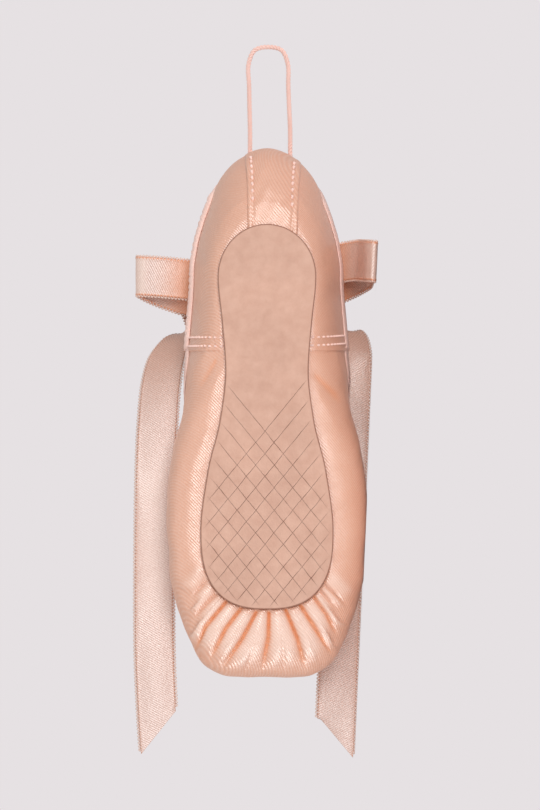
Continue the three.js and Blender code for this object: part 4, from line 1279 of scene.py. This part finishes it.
def ribbon_mesh(name, rows, nodes, cut=0.0, curl=0.25, weave_seed=0.0, shade=None):
    """A ribbon along a route with scalloped picot edges; returns the piece and the middle line in metres."""
    size = sizes()
    middle = three_route(rows, "u v w")
    width_way = three_route(rows, "au av aw")
    pitch = size.picot_pitch * 1000
    t, along = even_steps(middle, pitch / 4)
    p = middle(t)
    tangent = unit(np.gradient(p, axis=0))
    wide = width_way(t)
    wide = unit(wide - tangent * (wide * tangent).sum(1, keepdims=True))
    normal = np.cross(tangent, wide)
    sides = np.array([-0.5, -0.485, -0.46, -0.4, -0.3, -0.2, -0.1, 0, 0.1, 0.2, 0.3, 0.4, 0.46, 0.485, 0.5])
    width = size.ribbon_width * 1000
    reach = sides[None, :] * (width - 0.3) + 0 * along[:, None]
    slant = np.maximum(0, (t - 0.9) / 0.1)[:, None] * cut * (sides[None, :] - 0.5)
    wave = curl * (np.cos(sides[None, :] * math.pi) - 0.6) * np.sin(along[:, None] * 0.11 + weave_seed)
    ends = smooth(0, 6, along) * smooth(0, 6, along[-1] - along)
    ripple = wave * ends[:, None]
    thick = size.ribbon_thickness * 1000 / 2 * (1 + 0.7 * np.exp(-(((np.abs(sides) - 0.48) / 0.02) ** 2)))
    centre = p[:, None] + wide[:, None] * reach[..., None] + tangent[:, None] * slant[..., None]
    centre = centre + normal[:, None] * ripple[..., None]
    faces_points = [centre + normal[:, None] * (face * thick)[None, :, None] for face in (1, -1)]
    columns, across = centre.shape[:2]
    points = [side.reshape(-1, 3) for side in faces_points]
    faces = sheet_faces(columns, across, across, False)
    plan = [np.stack([along[:, None] + slant, reach], -1).reshape(-1, 2)] * 2
    count = sum(len(block) for block in points)
    # Painted shade along the ribbon's edges between the picot loops
    dashes = 0.55 - 0.45 * np.cos(2 * math.pi * along / pitch)
    edge_shade = smooth(0.455, 0.475, np.abs(sides))[None, :] * dashes[:, None]
    # Painted shade and painted highlight along the ribbon, from its shade function
    deep, highlight = shade(p) if shade else (0 * along, 0 * along)
    edge_shade = np.maximum(edge_shade, deep[:, None])
    folds = [edge_shade.ravel()] * 2
    highlight_marks = [np.repeat(highlight, across)] * 2
    bend = np.linspace(0, math.pi, 6)
    ring = np.linspace(0, 2 * math.pi, 4, endpoint=False)
    for edge, sign in ((0, -1), (across - 1, 1)):
        rim = centre[:, edge]
        gone = run_along(rim)
        loops = int(gone[-1] / pitch) - 1
        middle_at = (np.arange(loops) + 1) * pitch
        base, ahead, out, up = [
            np.stack([np.interp(middle_at, gone, way[:, k]) for k in range(3)], -1)[:, None, None]
            for way in (rim, tangent, wide * sign, normal)
        ]
        turn = np.stack([np.cos(bend), np.sin(bend)], -1)
        arc = ahead * (PICOT_REACH * pitch * turn[:, :1])[None, :, None]
        arc = arc + out * (PICOT_OUT * turn[:, 1:] - PICOT_SINK)[None, :, None]
        lean = ahead * turn[None, :, None, :1] + out * turn[None, :, None, 1:]
        round_it = lean * np.cos(ring)[None, None, :, None] + up * np.sin(ring)[None, None, :, None]
        tube = base + arc + PICOT_RADIUS * round_it
        points.append(tube.reshape(-1, 3))
        plan.append(np.tile([[0.0, sign * width / 2]], (tube.size // 3, 1)))
        # Painted shade at the roots of the picot loops, and a painted highlight over each loop
        folds.append(np.tile(np.repeat([0.7, 0.1, 0, 0, 0.1, 0.7], 4), loops))
        highlight_marks.append(np.full(tube.size // 3, 0.8))
        for k in range(loops):
            start = count + k * len(bend) * len(ring)
            faces.extend(tube_faces(len(bend), len(ring), start, caps=False))
        count += tube.size // 3
    values = {"fold": np.concatenate(folds), "crest_highlight": np.concatenate(highlight_marks)}
    spots = np.vstack(points)
    spots[:, 1] = np.maximum(spots[:, 1], -floor_half(spots[:, 0]))
    piece = new_piece(name, spots, faces, nodes, weld=False, values=values, plan=np.vstack(plan))
    return piece, to_world(centre[:, across // 2])


def loop_shade(middle):
    """Painted shade of a bow loop, warm and deep inside towards the shoe, and a painted highlight at its
    turn.
    """
    out = np.abs(middle[:, 1])
    deep = 0.9 * (1 - smooth(12.5, out.max() - 2.5, out))
    return deep, 0.9 * smooth(out.max() - 3.0, out.max() - 1.4, out)


def tail_shade(middle):
    """Painted shade where a tail turns down from the knot, and a painted highlight along its middle."""
    u = middle[:, 0]
    return 0.5 * (1 - smooth(36, 60, u)), 0.4 * smooth(56, 72, u) * (1 - smooth(84, 110, u))


class POINTE_OT_ribbon_bands(bpy.types.Operator):
    """Ribbons from inside the quarters up to the knot"""

    bl_idname = "pointe.ribbon_bands"
    bl_label = "Ribbon bands"

    def execute(self, context):
        finish = ribbon_satin("ribbon")
        for side, name in ((1, "left"), (-1, "right")):
            rows = {key: value * (side if key in ("v", "av") else 1) for key, value in BAND.items()}
            piece, _line = ribbon_mesh(f"ribbon_band_{name}_satin", rows, [f"ribbon_band_{name}"])
            give(piece, finish)
        return {"FINISHED"}


def knot_piece():
    """Ribbon wrapped round the loops' roots."""
    turns, across = 120, 41
    around = np.linspace(0, 2 * math.pi, turns, endpoint=False)
    side = np.linspace(-1, 1, across)
    angle, s = np.meshgrid(around, side, indexing="ij")
    power = KNOT["squareness"]
    swell = 1 - 0.42 * np.abs(s) ** 3.2
    fold = 0.05 * np.sin(s * 7.5 + 0.9 * np.sin(angle)) + 0.045 * np.sin(s * 15 + 2.2 * np.cos(angle))
    size = swell * (1 + fold)
    u = KNOT["u"] + KNOT["along"] * size * np.sign(np.cos(angle)) * np.abs(np.cos(angle)) ** power
    w = KNOT["w"] + KNOT["deep"] * size * np.sign(np.sin(angle)) * np.abs(np.sin(angle)) ** power
    v = KNOT["half"] * s * (1 - 0.1 * np.cos(angle * 2))
    grid = np.stack([u, v, w], -1)
    caps = np.array([[KNOT["u"], end * KNOT["cap"], KNOT["w"]] for end in (-1, 1)])
    points = np.vstack([grid.reshape(-1, 3), caps])
    faces = grid_faces(turns, across, 0, True)
    for i in range(turns):
        n = (i + 1) % turns
        faces.append((n * across, i * across, turns * across))
        faces.append((i * across + across - 1, n * across + across - 1, turns * across + 1))
    return new_piece("bow_knot_satin", points, faces, ["bow_knot"])


class POINTE_OT_bow(bpy.types.Operator):
    """Knot, two loops and two long tails of the tied ribbon"""

    bl_idname = "pointe.bow"
    bl_label = "Ribbon bow"

    def execute(self, context):
        finish, warm = ribbon_satin("tail_ribbon"), ribbon_satin("bow_ribbon", warm=True)
        knot = knot_piece()
        left, right = [
            ribbon_mesh(f"bow_loop_{name}_satin", rows, [f"bow_loop_{name}"], curl=0.1, shade=loop_shade)[0]
            for name, rows in (("left", LOOP_LEFT), ("right", LOOP_RIGHT))
        ]
        for piece in (knot, left, right):
            give(piece, warm)
        for name, rows, seed in (("left", TAIL_LEFT, 0.4), ("right", TAIL_RIGHT, 2.0)):
            tail, line = ribbon_mesh(
                f"ribbon_tail_{name}_satin", rows, [f"ribbon_tail_{name}"], cut=TAIL_CUT, curl=0.35,
                weave_seed=seed, shade=tail_shade
            )
            give(tail, finish)
        return {"FINISHED"}


class POINTE_OT_hanging_loop(bpy.types.Operator):
    """Twisted cord, sewn inside the heel at both ends"""

    bl_idname = "pointe.hanging_loop"
    bl_label = "Hanging loop"

    def execute(self, context):
        size = sizes()
        route = three_route(CORD_ROUTE, "u v w")
        t, along = even_steps(route, 0.16)
        p = route(t)
        tangent = unit(np.gradient(p, axis=0))
        side = np.zeros_like(p)
        side[0] = unit(np.cross(tangent[0], [0.0, 1.0, 0.0]))
        for k in range(1, len(p)):
            carried = side[k - 1] - tangent[k] * (side[k - 1] @ tangent[k])
            side[k] = carried / np.linalg.norm(carried)
        other = np.cross(tangent, side)
        radius = size.cord_diameter * 1000 / 2
        strand, throw = radius * 0.52, radius * 0.48
        ring = np.linspace(0, 2 * math.pi, 10, endpoint=False)
        points, faces = [], []
        for k, start in enumerate(np.linspace(0, 2 * math.pi, 3, endpoint=False)):
            turn = along / (size.cord_twist * 1000) * 2 * math.pi + start
            centre = p + throw * (side * np.cos(turn)[:, None] + other * np.sin(turn)[:, None])
            tube = centre[:, None] + strand * (
                side[:, None] * np.cos(ring)[None, :, None] + other[:, None] * np.sin(ring)[None, :, None]
            )
            points.append(tube.reshape(-1, 3))
            faces.extend(tube_faces(len(p), len(ring), k * len(p) * len(ring)))
        piece = new_piece("hanging_loop_cord", np.vstack(points), faces, ["hanging_loop"], weld=False)
        tones = colours()
        give(piece, cloth_material(
            "cord", tones.cord, tones.edging_dark, pitch=0.0003, depth=0.00005, roughness=0.6
        ))
        return {"FINISHED"}


def bead(start, end, up, radius):
    """Points and faces of one stitch: a thread that dips into the cloth at both ends."""
    along = end - start
    side = np.cross(up, along)
    side = side / np.linalg.norm(side)
    points, rings, count = [], 7, 6
    for k in range(rings):
        t = k / (rings - 1)
        bow = math.sin(math.pi * t)
        centre = start + along * t + up * radius * (1.5 * bow - 0.7)
        r = radius * (0.35 + 0.65 * bow ** 0.5)
        for j in range(count):
            a = 2 * math.pi * j / count
            points.append(centre + side * r * math.cos(a) + up * r * math.sin(a))
    return points, tube_faces(rings, count)


def stitch_row(path, normals, points, faces, radius, stretch=1.0):
    """Adds the stitches of one row along a path on the cloth."""
    size = sizes()
    pitch, length = size.stitch_pitch * 1000 * stretch, size.stitch_length * 1000 * stretch
    gone = run_along(path)

    def at(distance):
        p = np.array([np.interp(distance, gone, path[:, k]) for k in range(3)])
        n = np.array([np.interp(distance, gone, normals[:, k]) for k in range(3)])
        return p, n / np.linalg.norm(n)

    place = 0.3
    while place + length < gone[-1]:
        (a, up), (b, _up) = at(place), at(place + length)
        new_points, new_faces = bead(a, b, up, radius)
        start = len(points)
        points.extend(new_points)
        faces.extend([tuple(start + k for k in face) for face in new_faces])
        place += pitch


class POINTE_OT_stitches(bpy.types.Operator):
    """Rows of thread beside the side seams and along the heel strip"""

    bl_idname = "pointe.stitches"
    bl_label = "Stitches"

    def execute(self, context):
        points, faces = [], []
        angles = np.linspace(4, 118, 160)
        for side, rows in SEAM_ROWS.items():
            for u in rows:
                slope = -0.012 if side < 0 else 0.0
                stations = u + slope * (angles - 20) * 0.5
                lines = flank(stations, side)
                keep = angles < lines["cut"] - 6
                chosen = {name: value[keep] for name, value in lines.items()}
                near = [flank(stations[keep] + side * move, side) for move in (-0.1, 0.1)]
                angle = angles[keep][:, None]
                path = last(chosen, angle)
                normal = last_normal(near[0], chosen, near[1], angle)
                lift = outside_relief(path, angle, chosen)
                path = (path + normal * lift[..., None])[:, 0]
                stitch_row(path, normal[:, 0], points, faces, STITCH_RADIUS)
        up = np.linspace(20, STRIP_TO - 1, 120)
        for v in STRIP_ROWS:
            path, normal = heel_patch(np.full(len(up), v), up)
            lift = SEAM_STEP + STRIP_STITCH_LIFT + heel_roll(path[:, 0], up)
            path = path + normal * lift[:, None]
            stitch_row(path, normal, points, faces, STRIP_STITCH_RADIUS, STRIP_STITCH_STRETCH)
        piece = new_piece("stitching", np.array(points), faces, weld=False)
        tones = colours()
        give(piece, cloth_material(
            "thread", tones.thread, tones.edging_dark, pitch=0.0002, depth=0.00003, roughness=0.5
        ))
        return {"FINISHED"}


class POINTE_OT_stage(bpy.types.Operator):
    """Pale floor, soft studio light and the camera at the photo's angle"""

    bl_idname = "pointe.stage"
    bl_label = "Stage"

    def execute(self, context):
        light = context.scene.pointe_light
        scene = context.scene
        scene.view_settings.view_transform = "Standard"
        world = bpy.data.worlds.new("studio")
        scene.world = world
        world.use_nodes = True
        tree = world.node_tree
        behind = tree.nodes["Background"]
        behind.inputs["Color"].default_value = light.backdrop
        values = {"Color": (1.0, 0.985, 0.975, 1.0), "Strength": light.around}
        soft = add_node(tree, "ShaderNodeBackground", values)[0]
        chosen = camera_sees(tree, behind.outputs[0], soft)
        tree.links.new(chosen, tree.nodes["World Output"].inputs["Surface"])

        work = bmesh.new()
        bmesh.ops.create_circle(work, cap_ends=True, radius=3.0, segments=96)
        mesh = bpy.data.meshes.new("floor")
        work.to_mesh(mesh)
        work.free()
        floor = bpy.data.objects.new("floor", mesh)
        scene.collection.objects.link(floor)
        floor.visible_shadow = False
        paint, tree, shader, _place = new_material("floor_paint", 1.0, specular=0.0)
        shader["Base Color"].default_value = (0.80, 0.775, 0.785, 1.0)
        # Camera rays see the floor as the backdrop's colour with a painted contact shadow, from ambient
        # occlusion close to the shoe
        near = add_node(tree, "ShaderNodeAmbientOcclusion", {"Distance": 0.006})["AO"]
        shade = ranged(tree, near, 0.3, 1.0, 0.95)
        glow = add_node(tree, "ShaderNodeEmission", {"Color": light.backdrop, "Strength": shade})[0]
        mixed = camera_sees(tree, glow, tree.nodes["Principled BSDF"].outputs[0])
        tree.links.new(mixed, tree.nodes["Material Output"].inputs["Surface"])
        mesh.materials.append(paint)

        aim = Vector(to_world(np.array(AIM)).tolist())
        up = Vector((math.cos(LEAN), 0, math.sin(LEAN)))
        right = Vector((0, 1, 0)).cross(up)
        camera = bpy.data.objects.new("camera", bpy.data.cameras.new("camera"))
        scene.collection.objects.link(camera)
        turn = Matrix((right, up, Vector((0, -1, 0)))).transposed().to_4x4()
        camera.matrix_world = Matrix.Translation(aim - Vector((0, light.distance, 0))) @ turn
        camera.data.sensor_width = SENSOR
        camera.data.lens = SENSOR * light.distance * 1000 / VIEW_TALL
        scene.camera = camera

        lamps = (
            ("key", light.key, (0.28, -0.86, -0.08), 0.28, (1.0, 0.985, 0.97)),
            ("side", light.fill * 0.12, (-0.1, -0.25, 0.8), 0.45, (1.0, 0.98, 0.97)),
            ("top", light.fill * 0.8, (0.7, -0.6, 0.05), 0.25, (1.0, 0.98, 0.96)),
            ("low", light.fill * 1.05, (-0.8, -0.4, 0.06), 0.3, (1.0, 0.98, 0.96)),
            ("back", light.fill * 2.4, (-0.05, 1.0, 0.3), 0.6, (1.0, 0.98, 0.97)),
        )
        for name, power, at, width, shade in lamps:
            lamp = bpy.data.lights.new(name, "AREA")
            lamp.energy, lamp.size, lamp.color = power, width, shade
            holder = bpy.data.objects.new(name, lamp)
            scene.collection.objects.link(holder)
            holder.location = at
            holder.rotation_euler = (aim - Vector(at)).to_track_quat("-Z", "Y").to_euler()
            holder.visible_glossy = name != "back"
        return {"FINISHED"}


class POINTE_PT_panel(bpy.types.Panel):
    """Pieces of the shoe and its stage"""

    bl_label = "Pointe Shoe"
    bl_idname = "POINTE_PT_panel"
    bl_space_type = "VIEW_3D"
    bl_region_type = "UI"
    bl_category = "Pointe Shoe"

    def draw(self, context):
        for operator in OPERATORS:
            self.layout.operator(operator.bl_idname)
        for group_name, group_class in GROUP_CLASSES.items():
            box = self.layout.box()
            for prop in group_class.__annotations__:
                box.prop(getattr(context.scene, group_name), prop)


OPERATORS = (
    POINTE_OT_stage,
    POINTE_OT_hanging_loop,
    POINTE_OT_bow,
    POINTE_OT_outsole,
    POINTE_OT_upper,
    POINTE_OT_insole,
    POINTE_OT_heel_strip,
    POINTE_OT_binding,
    POINTE_OT_ribbon_bands,
    POINTE_OT_stitches,
)
GROUP_CLASSES = {"pointe_sizes": ShoeSizes, "pointe_colours": ShoeColours, "pointe_light": StudioLight}


def register():
    for cls in (*GROUP_CLASSES.values(), *OPERATORS, POINTE_PT_panel):
        bpy.utils.register_class(cls)
    for name, cls in GROUP_CLASSES.items():
        setattr(bpy.types.Scene, name, bpy.props.PointerProperty(type=cls))


def unregister():
    for name in GROUP_CLASSES:
        delattr(bpy.types.Scene, name)
    for cls in reversed((*GROUP_CLASSES.values(), *OPERATORS, POINTE_PT_panel)):
        bpy.utils.unregister_class(cls)


def main():
    register()
    for operator in OPERATORS:
        namespace, name = operator.bl_idname.split(".")
        getattr(getattr(bpy.ops, namespace), name)()
    bpy.context.view_layer.update()


if __name__ == "__main__":
    main()
